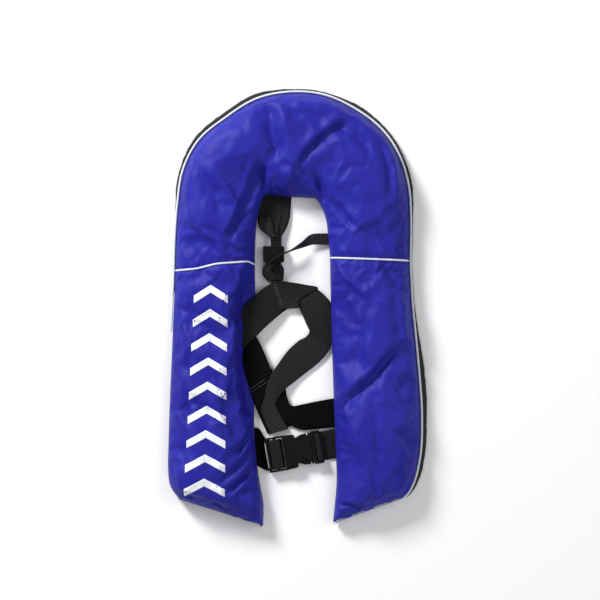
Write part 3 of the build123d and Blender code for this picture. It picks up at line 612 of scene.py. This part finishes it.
def crown_height(points):
    """The cover's height over the plan, in millimetres."""
    edge = np.minimum(distance_to(points, outer_rows[::3]), distance_to(points, gap_rows[::3]))
    for end in (plan[0], plan[-1]):
        edge = np.minimum(edge, distance_to(points, end))
    part = np.clip(edge / CROWN_R, 0, 1)
    height = EDGE_Z + CROWN_H * np.sqrt(np.clip(1 - (1 - part) ** 2.3, 0, 1))
    rim = np.clip(edge / 16.0, 0, 1)
    shape = np.zeros_like(height)
    for line, depth, width, ridge in CREASES:
        where, signed, dist = along_line(points, line)
        fade = np.clip(where / 0.2, 0, 1) * np.clip((1 - where) / 0.2, 0, 1)
        fade = 0.25 + 0.75 * fade
        beyond = np.exp(-(dist / width) ** 2)
        sharp = np.exp(-dist / (0.75 * width))
        shape -= CREASE_GAIN * depth * fade * (0.45 * beyond + 0.55 * sharp)
        throw = signed * np.sign(ridge) - 1.5 * width
        thrown_up = np.exp(-np.abs(throw) / width)
        shape += CREASE_GAIN * abs(ridge) * fade * thrown_up * np.exp(-(dist / (3.0 * width)) ** 4)
    for centre, lift, radius in PUFFS:
        away = np.linalg.norm(points - np.array(centre, float), axis=2)
        shape += lift * np.exp(-(away / radius) ** 2)
    height += shape * (0.25 + 0.75 * rim)
    broad = noise_over(points, lambda x, y: (x * 0.022, y * 0.016, 3.1))
    folds = noise_over(points, lambda x, y: (x * 0.07 + 9, y * 0.045, 7.7))
    tiny = noise_over(points, lambda x, y: (x * 0.16, y * 0.13 + 5, 1.7))
    slant = noise_over(points, lambda x, y: ((x + 0.5 * y) * 0.045, (y - 0.5 * x) * 0.013, 40.0))
    height += rim * (2.6 * broad + 2.2 * (0.3 - np.abs(folds)) + 3.4 * (0.28 - np.abs(slant)) + 0.4 * tiny)
    # Gathers that run in from the piped seams.
    gather = noise_over(points, lambda x, y: (x * 0.11, y * 0.11, 20.0))
    height += 1.8 * gather * np.exp(-((edge - 7.0) / 7.0) ** 2)
    bed = distance_to(points, STRAP_BED)
    return np.minimum(height, PRESSED_Z + 2.6 * np.maximum(bed - 9.5, 0))


heights = crown_height(plan)
# The cloth dips where the cross seams hold it.
for station in (SEAM_STATION_LEFT, SEAM_STATION_RIGHT):
    away = np.abs(np.arange(ROWS) - station * ROWS_PER_STATION)
    heights -= (1.6 * np.exp(-(away / 1.6) ** 2))[:, None] * np.clip((heights - EDGE_Z) / 6, 0, 1)
cover_top = np.dstack([plan, np.maximum(heights, EDGE_Z - 0.4)])


CLOTH_STEPS = 22
CLOTH_LIMIT = 5.0


def settle_cloth(top):
    """Lets the cover relax as cloth, held along its edges and seams, and returns its new top."""
    rows, columns = top.shape[:2]
    mesh = bpy.data.meshes.new("cloth_work")
    faces = [
        (i * columns + j, i * columns + j + 1, (i + 1) * columns + j + 1, (i + 1) * columns + j)
        for i in range(rows - 1) for j in range(columns - 1)
    ]
    mesh.from_pydata([tuple(v * MM) for v in top.reshape(-1, 3)], [], faces)
    obj = new_object("cloth_work", mesh)
    held = np.zeros((rows, columns))
    held[:, 0] = held[:, -1] = 1
    held[0, :] = held[-1, :] = 1
    held[SEAM_STATION_LEFT * ROWS_PER_STATION] = 1
    held[SEAM_STATION_RIGHT * ROWS_PER_STATION] = 1
    pressed = distance_to(top[:, :, :2], STRAP_BED) < 12
    held[pressed] = 1
    group = obj.vertex_groups.new(name="held")
    for index in np.flatnonzero(held.ravel()):
        group.add([int(index)], 1.0, "REPLACE")
    cloth = obj.modifiers.new("cloth", "CLOTH")
    settings = cloth.settings
    settings.vertex_group_mass = "held"
    settings.quality = 6
    settings.mass = 0.12
    settings.tension_stiffness = 20
    settings.compression_stiffness = 12
    settings.shear_stiffness = 6
    settings.bending_stiffness = 0.4
    settings.shrink_min = -0.045
    settings.use_pressure = True
    settings.uniform_pressure_force = 0.6
    settings.effector_weights.gravity = 0
    cloth.collision_settings.use_self_collision = False
    cloth.collision_settings.use_collision = False
    cloth.point_cache.frame_end = 24
    scene = bpy.context.scene
    for step in range(1, CLOTH_STEPS + 1):
        scene.frame_set(step)
    done = obj.evaluated_get(bpy.context.evaluated_depsgraph_get()).to_mesh()
    moved = np.empty(len(done.vertices) * 3)
    done.vertices.foreach_get("co", moved)
    moved = moved.reshape(rows, columns, 3) / MM
    bpy.data.objects.remove(obj)
    scene.frame_set(1)
    shift = moved - top
    near_edge = np.minimum(np.arange(columns), np.arange(columns)[::-1]) / 9.0
    shift[:, :, :2] *= np.clip(near_edge, 0.1, 1)[None, :, None]
    size = np.linalg.norm(shift, axis=2, keepdims=True)
    return top + shift * np.minimum(1, CLOTH_LIMIT / np.maximum(size, 1e-6))


cover_top = settle_cloth(cover_top)

# Parts inside that the cloth lies over: middle and half sizes in the plan, and the cloth's least height.
INSIDE = [
    ((106, -56.2), (5.0, 66), 35.2), ((98, -137), (17, 22), 33.4), ((92, -140), (8, 7), 37.6),
    ((-106, -100), (4, 52), 27.2), ((-106, -162), (6, 10), 30.6), ((-106, -38), (15, 15), 28.0),
    ((-106, -12), (15, 6), 19.4), ((126, -197), (12, 32), 27.6),
]
for centre, half, top in INSIDE:
    away = np.maximum(np.abs(cover_top[:, :, :2] - np.array(centre, float)) - np.array(half, float), 0)
    away = np.linalg.norm(away, axis=2)
    cover_top[:, :, 2] = np.maximum(cover_top[:, :, 2], top - 0.035 * away ** 2)
cover_top[:, :, 2] = np.clip(cover_top[:, :, 2], UNDER_Z + 0.6, COVER_MAX_Z)
cover_under = cover_top.copy()
cover_under[:, :, 2] = UNDER_Z


def cover_piece(name, first, last, node):
    """One panel of the cover, between two rows of the form."""
    piece = grid_mesh(name, (cover_top[first:last + 1] * MM, cover_under[first:last + 1] * MM), NYLON)
    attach(piece, "root")
    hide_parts(node)
    return piece


ROW_LEFT = SEAM_STATION_LEFT * ROWS_PER_STATION
ROW_RIGHT = SEAM_STATION_RIGHT * ROWS_PER_STATION
cover_piece("cover_left", 0, ROW_LEFT, "front_cover_left")
cover_piece("cover_yoke", ROW_LEFT, ROW_RIGHT, "front_cover_yoke")
cover_piece("cover_right", ROW_RIGHT, ROWS - 1, "front_cover_right")

# A tree of the whole cover's top, for laying other pieces on it.
cover_faces = [
    (i * COLUMNS + j, i * COLUMNS + j + 1, (i + 1) * COLUMNS + j + 1, (i + 1) * COLUMNS + j)
    for i in range(ROWS - 1) for j in range(COLUMNS - 1)
]
cover_tree = BVHTree.FromPolygons([tuple(v) for v in cover_top.reshape(-1, 3)], cover_faces)


def cover_z(x, y):
    """The height of the cover's top above a place, in millimetres."""
    hit = cover_tree.ray_cast((x, y, 200.0), (0, 0, -1.0))[0]
    return hit[2] if hit is not None else EDGE_Z


# ---- Piping ----
PIPING_R = 1.5


def rooted(piece, *nodes, slot_name):
    """A piece that rides on the jacket and stands for CAD nodes."""
    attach(piece, "root")
    if nodes:
        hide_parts(*nodes)
    return piece


def outward(rows):
    """Unit vectors from the gap side to the outer edge along rows."""
    step = np.gradient(outer_rows, axis=0)
    step /= np.linalg.norm(step, axis=1)[:, None]
    return np.stack([-step[:, 1], step[:, 0]], axis=1)[rows]


PIPING_FIRST = 6 * ROWS_PER_STATION + 6
piping_rows = np.arange(PIPING_FIRST, ROWS)
edge_line = outer_rows[piping_rows] + 1.9 * outward(piping_rows)
end_line = plan[-1, 1:, :] + np.array([0.4, -1.9])
edge_path = np.vstack([edge_line, end_line])
edge_path = np.column_stack([edge_path, np.full(len(edge_path), EDGE_Z + 5.0)])
piping = tube("edge_piping_cord", edge_path * MM, PIPING_R * MM, BRAID)
rooted(piping, "edge_piping", slot_name="piping_white")

for row, node in ((ROW_LEFT, "cross_piping_left"), (ROW_RIGHT, "cross_piping_right")):
    line = cover_top[row] + np.array([0, 0, 0.75])
    piece = tube(node + "_cord", line * MM, 1.3 * MM, BRAID)
    rooted(piece, node, slot_name="piping_white")


# ---- Back panel and its inner binding ----
def u_grid(inset_outer, inset_gap, columns):
    """A grid of plan points between the two edges, moved in by the given distances."""
    width = np.linalg.norm(gap_rows - outer_rows, axis=1)
    start = inset_outer / width
    end = 1 - inset_gap / width
    t = 0.5 - 0.5 * np.cos(pi * np.linspace(0, 1, columns))
    share = start[:, None] + (end - start)[:, None] * t[None, :]
    return outer_rows[:, None, :] * (1 - share)[:, :, None] + gap_rows[:, None, :] * share[:, :, None]


def rim_distance(grid):
    """The distance from each point of a U-shaped grid to its outline."""
    near = np.minimum(distance_to(grid, grid[::4, 0]), distance_to(grid, grid[::4, -1]))
    for end in (grid[0], grid[-1]):
        near = np.minimum(near, distance_to(grid, end))
    return near


def inside_box(points, centre, size):
    """1 within a rectangle of the plan and 0 outside, with a short slope."""
    off = np.abs(points - np.array(centre, float)) - np.array(size, float) / 2
    return np.clip(-off.max(axis=2) / 1.5 + 0.5, 0, 1)


# Where the webbing runs under the panel: centre and size in the plan.
CHANNELS = [((-112, -190), (120, 70)), ((104, -168), (108, 68)), ((-22, 152), (50, 36))]
CHANNEL_Z = 4.5
panel_plan = u_grid(2.5, 5.0, 41)
rim = rim_distance(panel_plan)
swell = noise_over(panel_plan, lambda x, y: (x * 0.03, y * 0.03, 12.0))
panel_low = 2.4 * (1 - np.clip(rim / 9.0, 0, 1)) ** 2 + 0.25 * (1 + swell)
panel_low -= panel_low.min()
# Two quilting lines run round the panel.
for inset in (26.0, 52.0):
    panel_low += 1.0 * np.exp(-((rim - inset) / 1.8) ** 2)
for centre, size in CHANNELS:
    share = inside_box(panel_plan, centre, size)
    panel_low = panel_low * (1 - share) + CHANNEL_Z * share
panel_high = np.full(rim.shape, 5.9)
panel = slab("back_panel_pad", panel_plan, panel_high, panel_low, MESH)
rooted(panel, "back_panel", slot_name="black_mesh")

for side in ("left", "right"):
    low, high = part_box("belt_sleeve_" + side)
    rows, columns = 34, 22
    sheet_x = np.linspace(low.x, high.x, columns)
    sheet_y = np.linspace(low.y, high.y, rows)
    grid_x, grid_y = np.meshgrid(sheet_x, sheet_y)
    wave = 0.00012 * np.sin(grid_x * 160) * np.cos(grid_y * 130)
    top = np.dstack([grid_x, grid_y, 0.00070 + wave])
    under = np.dstack([grid_x, grid_y, 0.00015 + wave * 0.5])
    piece = grid_mesh("belt_sleeve_" + side + "_cloth", (top, under), MESH)
    rooted(piece, "belt_sleeve_" + side, slot_name="black_mesh")

binding_path = np.column_stack([gap_rows + 3.3 * outward(np.arange(ROWS)), np.full(ROWS, 6.1)])
binding = tube("inner_binding_tape", binding_path * MM, 0.0019, BINDING, sides=12, squash=0.9)
rooted(binding, "inner_edge_binding", slot_name="piping_white")

# ---- Hook-and-loop closure round the outer edge ----
# How far the tape shows beyond the edge, by station of the outer edge.
TAPE_SHOWS = [
    (0, 0.5), (10.8, 0.5), (11.5, 3.0), (12, 3.2), (13, 5.0), (14, 5.5), (15, 5.5), (16, 2.6), (17, 2.6),
    (18, 5.0), (19, 3.5), (20, 3.2), (21, 4.0), (22, 1.6), (23, 1.0), (25, 1.5), (26, 3.0), (27, 6.0),
    (28, 6.4), (29, 5.4), (30, 5.2), (31, 5.0), (32, 3.0), (33, 0.5),
]
PIPING_OUT = 3.2


def tape_reach(rows):
    """How far the tape shows at rows of the cover."""
    return np.interp(rows / ROWS_PER_STATION, *zip(*TAPE_SHOWS))


tape_rows = np.arange(8 * ROWS_PER_STATION, ROWS - 2)
shows = tape_reach(tape_rows)
for name, low, reach, seed in (("closure_hook_tape", 2.7, 0.9, 3.0), ("closure_loop_tape", 4.3, 1.0, 8.0)):
    jitter = np.array([
        noise.noise((r * 0.55, seed, 0)) + 0.6 * noise.noise((r * 0.13, seed, 5)) for r in tape_rows
    ])
    edge = PIPING_OUT + shows * reach + 1.0 * jitter * np.clip(shows / 4, 0.2, 1)
    inner = outer_rows[tape_rows] - 1.8 * outward(tape_rows)
    outer = outer_rows[tape_rows] + edge[:, None] * outward(tape_rows)
    t = np.linspace(0, 1, 7)
    tape_plan = inner[:, None, :] * (1 - t)[None, :, None] + outer[:, None, :] * t[None, :, None]
    droop = (0.9 * t ** 2)[None, :] * (0.6 + 0.8 * jitter[:, None])
    piece = slab(name + "_band", tape_plan, low + 1.45 - droop * 0.6, low + 0.1 - droop * 0.6, PILE)
    rooted(piece, name, slot_name="hook_loop_black")

# Loose pile standing out of the tape's edge.
HAIR_COUNT = 1500
# Steps that spread the hairs evenly.
SPREAD_ALONG = 0.6180339887
SPREAD_UP = 0.7548776662
hairs = []
for k in range(HAIR_COUNT):
    share = (k * SPREAD_ALONG) % 1.0
    row = int(tape_rows[0] + share * (len(tape_rows) - 2))
    reach = tape_reach(row)
    if reach < 2.5:
        continue
    way = outward(np.array([row]))[0]
    along = np.array([-way[1], way[0]])
    lean = noise.noise((k * 1.7, 2.0, 0)) * 1.4
    long = 1.3 + 1.4 * abs(noise.noise((k * 2.3, 9.0, 0)))
    shift = noise.noise((k * 0.9, 5.0, 1.0)) * 2.4
    base = outer_rows[row] + (PIPING_OUT + reach - 1.0) * way + along * shift
    height = 3.4 + 2.0 * ((k * SPREAD_UP) % 1.0)
    tip = base + way * long + along * lean
    curl = (base + tip) / 2 + along * 0.5
    points = [(*base, height), (*curl, height + 0.25), (*tip, height + 0.2 * lean)]
    hairs.append(tube("hair", np.array(points) * MM, 0.00011, PILE, sides=4))
fuzz = join("closure_loose_pile", hairs)
rooted(fuzz, slot_name="hook_loop_black")


# ---- Flat webbing ----
def half_thickness(thick, across):
    """Half the webbing's thickness at places from -1 to 1 across it. The woven edge is a little thinner."""
    return thick / 2 * (1 - 0.35 * np.clip((np.abs(across) - 0.86) / 0.14, 0, 1) ** 2)


def carry_webbing(piece, node, body):
    """Ties webbing to its body, and hides its CAD node where it has one."""
    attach(piece, body)
    if node:
        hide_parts(node)


def band(name, stations, node, material=WEBBING, thick=1.4, rows=60, columns=19, relief=None, body="root"):
    """Flat webbing through pairs of edge points, given at half its thickness."""
    left = smooth_path([s[0] for s in stations], rows)
    right = smooth_path([s[1] for s in stations], rows)
    t = np.linspace(0, 1, columns)
    middle = left[:, None, :] * (1 - t)[None, :, None] + right[:, None, :] * t[None, :, None]
    if relief is not None:
        middle[:, :, 2] += relief(np.linspace(0, 1, rows)[:, None], t[None, :])
    du = np.gradient(middle, axis=0)
    dv = np.gradient(middle, axis=1)
    normal = np.cross(dv, du)
    normal /= np.maximum(np.linalg.norm(normal, axis=2, keepdims=True), 1e-9)
    normal[normal[:, :, 2] < 0] *= -1
    offset = normal * half_thickness(thick, 2 * t - 1)[None, :, None]
    piece = grid_mesh(name, ((middle + offset) * MM, (middle - offset) * MM), material)
    carry_webbing(piece, node, body)


def pleats(rows, across):
    """Deep folds that gather towards the slider."""
    deep = 1.6 * np.clip((rows - 0.12) / 0.4, 0, 1) * np.clip((0.84 - rows) / 0.2, 0.45, 1)
    fold = np.sin(across * 2 * pi * 4.5 + 1.2 * np.sin(rows * 4))
    return deep * fold * 0.8 + 0.4 * np.sin(across * 2 * pi * 9 + 1) * np.clip(rows * 2, 0, 1)


band("neck_strap_fan", [
    ((-43, 164, 1.9), (-5, 164, 1.9)),
    ((-44, 142, 2.0), (-6, 142, 2.0)),
    ((-50, 118, 3.6), (-8, 118, 3.6)),
    ((-47, 103, 5.6), (-13, 103, 5.6)),
    ((-34, 94, 6.9), (-18.6, 94, 6.9)),
    ((-33, 87, 7.0), (-19, 87, 7.0)),
    ((-33, 73, 7.0), (-19, 73, 7.0)),
    ((-33, 58.5, 7.0), (-19, 58.5, 7.0)),
], "neck_strap", rows=90, columns=61, relief=pleats)


def under_layer(rows, across):
    """A slack layer with a roll along its free edge."""
    return 0.7 * np.sin(across * pi * 3 + 2 * rows) + 0.5 * np.sin(rows * 7)


band("neck_strap_fold", [
    ((-48, 119, 5.2), (-33, 119, 5.6)),
    ((-49.5, 108, 6.4), (-30, 107, 7.2)),
    ((-44, 100, 7.6), (-28, 99, 8.2)),
    ((-35, 93.5, 8.6), (-24, 92.5, 8.8)),
], None, material=PALE_WEBBING, rows=40, columns=21, relief=under_layer)


def puckers(rows, across):
    """A bulging gather of webbing held between the slider and the joint."""
    rise = np.sin(np.clip(rows, 0, 1) * pi) ** 0.7
    return 4.4 * rise * (1 - (2 * across - 1) ** 4) + 0.7 * np.sin(across * 2 * pi * 4) * rise


band("slider_loop_gather", [
    ((-37, 60, 5.6), (-21.5, 60, 5.6)),
    ((-43, 52, 5.2), (-16.4, 52, 5.2)),
    ((-43.5, 44, 5.0), (-16, 44, 5.0)),
    ((-38, 35.4, 5.4), (-17, 35.4, 5.4)),
], "slider_loop", rows=40, columns=41, relief=puckers)


def soft_sag(rows, across):
    """A slight sag with broad waves."""
    return 0.35 * np.sin(rows * 5 + across * 2) + 0.25 * np.sin(across * 5 - rows * 3)


band("harness_joint_patch", [
    ((-33, 34.8, 7.4), (-14, 34.8, 7.4)),
    ((-28, 28, 7.4), (11, 30.6, 7.4)),
    ((-25, 22, 7.4), (29, 25.6, 7.4)),
    ((-21.5, 12, 7.4), (6.5, 12, 7.4)),
    ((-20, -2, 7.4), (4, 0, 7.4)),
], "harness_joint", rows=40, relief=soft_sag)
band("back_strap_left_upper", [
    ((-29, 35, 5.4), (-7, 2, 5.4)),
    ((-37, 29.5, 6.6), (-15, -4, 6.2)),
    ((-46, 23, 9.4), (-24, -11, 8.4)),
    ((-56, 13.5, 11.6), (-42, -27, 11.4)),
    ((-63, 7, 11.9), (-56, -41, 11.9)),
    ((-70.6, 0.4, 11.4), (-70.6, -53.6, 11.4)),
], "back_strap_left", rows=50, relief=soft_sag)
# Painted shade: the lower left strap is drawn in the darker webbing because its underside lies in shadow.
band("back_strap_left_lower", [
    ((-70.4, -53.5, 9.9), (-70.4, -5, 9.9)),
    ((-70, -62, 9.9), (-62, -20, 9.9)),
    ((-69, -74, 9.9), (-47, -46, 9.9)),
    ((-62, -101, 9.8), (-34, -76, 8.2)),
    ((-54.2, -126, 9.2), (-20, -107, 4.2)),
    ((-44, -150, 4.2), (-11, -133, 2.2)),
    ((-37, -165, 2.2), (-3, -153.5, 1.6)),
], None, material=SHADED_WEBBING, rows=80, relief=soft_sag)
turn = np.array([(-70.6, y, 10.65) for y in np.linspace(-53.2, 0.2, 24)])
edge = tube("back_strap_left_turn", turn * MM, 0.00142, WEBBING, sides=12)
rooted(edge, slot_name="webbing_black")

band("back_strap_right_run", [
    ((-4, 5, 5.6), (27, 25.5, 5.6)),
    ((3, 1, 5.2), (40, 14, 5.0)),
    ((6, -4, 4.6), (46.5, 2, 4.2)),
    ((13, -20, 3.0), (48.5, -24, 2.8)),
    ((17.5, -31, 2.6), (47, -46, 2.6)),
    ((13, -38, 2.7), (40, -60, 2.7)),
    ((9, -40.5, 3.2), (34, -67, 3.2)),
], "back_strap_right", rows=70, relief=soft_sag)
# Painted highlight: this turned run is drawn in the lighter webbing because it catches the light.
band("back_strap_right_turned", [
    ((17, -33, 3.4), (46, -52, 3.2)),
    ((12, -38.4, 4.2), (39, -61, 3.8)),
    ((2.6, -43.5, 3.8), (28, -73, 3.6)),
    ((-11.7, -57, 5.0), (10, -87, 4.0)),
    ((-24, -74, 7.4), (-4, -98, 5.6)),
    ((-32, -86, 9.8), (-13, -105, 8.2)),
    ((-38, -101, 10.9), (-19.5, -112.5, 9.4)),
    ((-41, -117, 11.0), (-25.5, -121, 9.8)),
    ((-45.5, -132, 9.4), (-26, -129, 8.2)),
    ((-40, -150, 6.4), (-18, -144, 5.4)),
    ((-33, -164.5, 4.4), (-10, -158, 3.8)),
], None, material=LIT_WEBBING, rows=140, relief=soft_sag)
# Painted shade: the back belt is drawn in the darker webbing because it lies low, in shadow.
band("back_belt_run", [
    ((-31, -90, 7.0), (-13.5, -106, 5.4)),
    ((-34, -106, 8.2), (-12.5, -113, 5.6)),
    ((-29, -122, 8.4), (-10.5, -119.5, 5.6)),
    ((-24.5, -136, 6.0), (-8.5, -125, 4.6)),
    ((-12, -150, 4.4), (-3, -128, 3.6)),
    ((6, -159, 2.8), (8, -126, 2.8)),
    ((30, -158, 2.3), (30, -121.5, 2.3)),
    ((56, -155.5, 2.1), (56, -117, 2.1)),
], "back_belt", material=SHADED_WEBBING, rows=100)
band("neck_tape_run", [
    ((50, 82.5, 3.4), (50, 97.5, 3.4)),
    ((40, 82.5, 4.4), (40, 97.5, 4.4)),
    ((22, 82.5, 8), (20, 96, 9)),
    ((11, 79.5, 9.4), (7, 85.5, 15)),
    ((-6, 74, 12.8), (-7, 75.6, 23)),
    ((-22, 67.5, 12.8), (-22.6, 69, 24)),
    ((-33, 59, 12.8), (-34, 60, 24)),
    ((-37, 53, 12.6), (-38, 53.6, 20)),
], "neck_tape", material=PALE_WEBBING, thick=1.0, rows=90, columns=15)

# ---- Waist belt, in the buckle's own plane: u along the belt, v across it ----
BUCKLE_AT = (2.6, -185.9)
TILT = radians(10.0)
BELT_HALF = 19.0


def from_buckle(u, v, z):
    """A point of the buckle's plane in the row's frame, in millimetres."""
    return (BUCKLE_AT[0] + u * cos(TILT) - v * sin(TILT), BUCKLE_AT[1] + u * sin(TILT) + v * cos(TILT), z)


def belt(name, path, node, body, half=BELT_HALF, thick=1.4, rows=120):
    """Webbing that follows a path of (u, z) points, even across its width."""
    points = smooth_path([(u, 0, z) for u, z in path], rows)
    tangent = np.gradient(points, axis=0)
    tangent /= np.linalg.norm(tangent, axis=1)[:, None]
    normal = np.stack([-tangent[:, 2], np.zeros(rows), tangent[:, 0]], axis=1)
    columns = 21
    t = np.linspace(-1, 1, columns)
    half_t = half_thickness(thick, t)
    sheets = []
    for sign in (1, -1):
        sheet = np.empty((rows, columns, 3))
        for j in range(columns):
            place = points + sign * normal * half_t[j]
            for i in range(rows):
                sheet[i, j] = from_buckle(place[i, 0], t[j] * half, place[i, 2])
        sheets.append(sheet * MM)
    carry_webbing(grid_mesh(name, sheets, WEBBING), node, body)


belt("waist_belt_right_run", [
    (118, 1.95), (90, 1.95), (60, 1.95), (40, 1.95), (28, 1.95), (24.2, 2.2), (23.55, 3.6), (23.55, 6.5),
    (23.6, 9.4), (24.4, 10.6), (26.4, 10.75), (29.6, 10.6), (30.9, 8.6), (31.5, 5.4), (32.2, 3.5), (34, 3.3),
], "waist_belt_right", "belt_right", rows=190)
belt("waist_belt_right_under", [
    (19.6, 0.75), (26, 0.75), (33, 0.75), (38, 0.75),
], None, "belt_right", thick=0.8, rows=20)

# The left belt is widest beside the buckle, and turns up round the buckle's bar.
# Painted shade: the left belt is drawn in the darker webbing because it lies low, in shadow.
band("waist_belt_left_run", [
    ((-122, -203, 1.95), (-122, -166.6, 1.95)),
    ((-90, -203.6, 1.95), (-90, -166.4, 1.95)),
    ((-69, -204, 1.95), (-69, -165, 1.95)),
    ((-58, -203, 1.95), (-58, -158, 1.95)),
    (from_buckle(-45, -19, 1.95), (-48.5, -158, 1.95)),
    (from_buckle(-37, -19, 1.95), from_buckle(-37, 20.5, 1.95)),
    (from_buckle(-19.6, -19, 1.95), from_buckle(-19.6, 19, 1.95)),
], "waist_belt_left", material=SHADED_WEBBING, body="belt_left", rows=90)
belt("waist_belt_left_turn", [
    (-36.6, 2.1), (-36.0, 2.9), (-35.8, 5.0), (-35.8, 8.0), (-35.5, 10.6), (-34.0, 11.45), (-30, 11.6),
    (-25, 11.55), (-22.2, 11.0), (-21.5, 9.0), (-21.4, 6.0), (-21.4, 3.8),
], None, "belt_left", rows=120)
belt("belt_keeper_roll_turns", [
    (-31.0, 4.35), (-33.6, 4.6), (-34.0, 7.0), (-33.4, 9.5), (-29.0, 9.85), (-24.8, 9.5), (-24.2, 7.0),
    (-24.8, 4.6), (-28.6, 4.3),
], "belt_keeper_roll", "belt_left", half=18.6, rows=110)

# Painted highlights: pale lines along the buckle's long edges stand for light caught on their rounded edges,
# the back one fainter.
for name, u, span, z, radius, highlight_finish in (
    ("buckle_end_highlight", -41.0, 17.5, 11.0, 0.75, PALE_EDGE),
    ("buckle_back_highlight", -18.7, 20.5, 13.3, 0.4, THREAD),
):
    places = np.linspace(-span, span, 24)
    line = np.array([from_buckle(u + 0.02 * (abs(v) / 6) ** 2, v, z - 0.001 * v * v) for v in places])
    marking = tube(name, line * MM, radius * MM, highlight_finish, sides=8)
    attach(marking, "belt_left")

# ---- Stitching ----
rows_of_thread = [
    stitches([(-29, 30.5, 8.3), (-26, 22, 8.4), (-22.5, 10, 8.4), (-20, -1, 8.3)]),
    stitches([(-27, 31, 8.3), (-24, 22, 8.4), (-20.4, 10, 8.4), (-18, -1, 8.3)]),
    stitches([(-60, -106, 10.7), (-48, -98, 9.9), (-38, -91, 9.1)]),
    stitches([(-58.6, -110, 10.7), (-46, -102, 9.6), (-35.5, -95, 8.4)]),
]
thread = join("harness_stitching", rows_of_thread)
rooted(thread, slot_name="webbing_black")

# ---- White film on the left lobe: plain chevrons ----
FILM_STEP = 1.1
FILM_LIFT = 0.42


def on_cover(outline_points):
    """A thin film cut to a four-sided shape and laid on the cover, given as two opposite edges."""
    (a, b), (c, d) = outline_points
    wide = max(2, int(np.linalg.norm(np.subtract(b, a)) / FILM_STEP) + 1)
    deep = max(2, int(np.linalg.norm(np.subtract(c, a)) / FILM_STEP) + 1)
    s = np.linspace(0, 1, wide)
    t = np.linspace(0, 1, deep)
    first = np.array(a)[None, :] * (1 - s)[:, None] + np.array(b)[None, :] * s[:, None]
    second = np.array(c)[None, :] * (1 - s)[:, None] + np.array(d)[None, :] * s[:, None]
    plan_xy = first[None, :, :] * (1 - t)[:, None, None] + second[None, :, :] * t[:, None, None]
    z = np.array([cover_z(x, y) for x, y in plan_xy.reshape(-1, 2)]).reshape(plan_xy.shape[:2])
    return slab("film", plan_xy, z + FILM_LIFT, z - 0.5, FILM)


MARK_H = 24.0
MARK_STROKE = 10.0
film = []
for middle in np.linspace(18.0, -232.0, 9):
    slip = (middle - 17.5) / 250.0 * 13.0
    left = -132.0 + slip
    right = -88.0 + 0.3 * slip
    centre = (left + right) / 2
    low = middle - MARK_H / 2
    for near, far in ((left, centre), (right, centre)):
        film.append(on_cover([
            ((near, low), (far, low + MARK_H - MARK_STROKE)),
            ((near, low + MARK_STROKE), (far, low + MARK_H)),
        ]))
marks = join("white_film_marks", film)
rooted(marks, slot_name="piping_white")


# ---- Moulded parts keep their CAD shape, with their edges broken ----
BEVEL_ANGLE = 32


def soften(node, width):
    """Rounds a CAD node's edges with modifiers."""
    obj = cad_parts[node]
    obj.data.polygons.foreach_set("use_smooth", [False] * len(obj.data.polygons))
    weld = obj.modifiers.new("weld", "WELD")
    weld.merge_threshold = 0.00001
    edge = obj.modifiers.new("edges", "BEVEL")
    edge.width = width * MM
    edge.segments = 2
    edge.limit_method = "ANGLE"
    edge.angle_limit = radians(BEVEL_ANGLE)
    edge.harden_normals = False
    edge.loop_slide = False


MOULDED = {
    "buckle_female": 0.6, "buckle_male": 0.6, "buckle_prong_upper": 0.5, "buckle_prong_lower": 0.5,
    "strap_slider": 0.9, "pull_handle": 0.8, "inflator_body": 1.0, "pull_lever": 0.5, "whistle": 0.6,
    "mouthpiece": 0.4, "dust_cap": 0.4, "oral_tube_base": 0.4,
}
for node_name, width in MOULDED.items():
    soften(node_name, width)
    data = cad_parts[node_name].data
    if node_name.startswith("buckle") or node_name == "strap_slider":
        data.materials.clear()
        data.materials.append(ACETAL)

# ---- Inside the cover: the folded bladder and the two springs ----
bladder_plan = u_grid(17.0, 17.0, 45)[11:-11]
folds = noise_over(bladder_plan, lambda x, y: (x * 0.05, y * 0.02, 30.0))
inner_rim = rim_distance(bladder_plan)
bladder_high = 9.0 + 14.5 * np.sqrt(np.clip(inner_rim / 16, 0, 1)) + 1.6 * folds
bladder_high += 1.2 * np.sin(inner_rim * 0.55)
# The bladder lies flat under the inflator, the mouth tube and the left strap.
for centre, size in (((107.5, -98), (70, 270)), ((-104, -100), (43, 213)), ((-50, -59), (56, 176))):
    share = inside_box(bladder_plan, centre, size)
    bladder_high = bladder_high * (1 - share) + 8.3 * share
bladder_high = np.clip(bladder_high, 7.0, 26.5)
floor_z = np.full(bladder_high.shape, 6.15)
stuffing = slab("bladder_folded", bladder_plan, bladder_high, floor_z, YELLOW)
rooted(stuffing, "bladder", slot_name="bladder_yellow")


def spring(name, node, axis, body, turns, wire):
    """A coil spring in the place of a CAD ring."""
    low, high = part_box(node)
    middle = (low + high) / 2
    size = high - low
    length = size[axis]
    radius = min(size[(axis + 1) % 3], size[(axis + 2) % 3]) / 2 - wire
    points = []
    for k in range(turns * 16 + 1):
        angle = 2 * pi * k / 16
        place = [0, 0, 0]
        place[axis] = low[axis] + wire + (length - 2 * wire) * k / (turns * 16)
        place[(axis + 1) % 3] = middle[(axis + 1) % 3] + radius * cos(angle)
        place[(axis + 2) % 3] = middle[(axis + 2) % 3] + radius * sin(angle)
        points.append(place)
    coil = tube(name, points, wire, STEEL, sides=8)
    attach(coil, body)
    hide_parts(node)


spring("pin_spring_coil", "pin_spring", 0, "pin", 5, 0.00035)
spring("poppet_spring_coil", "poppet_spring", 1, "poppet", 5, 0.0003)
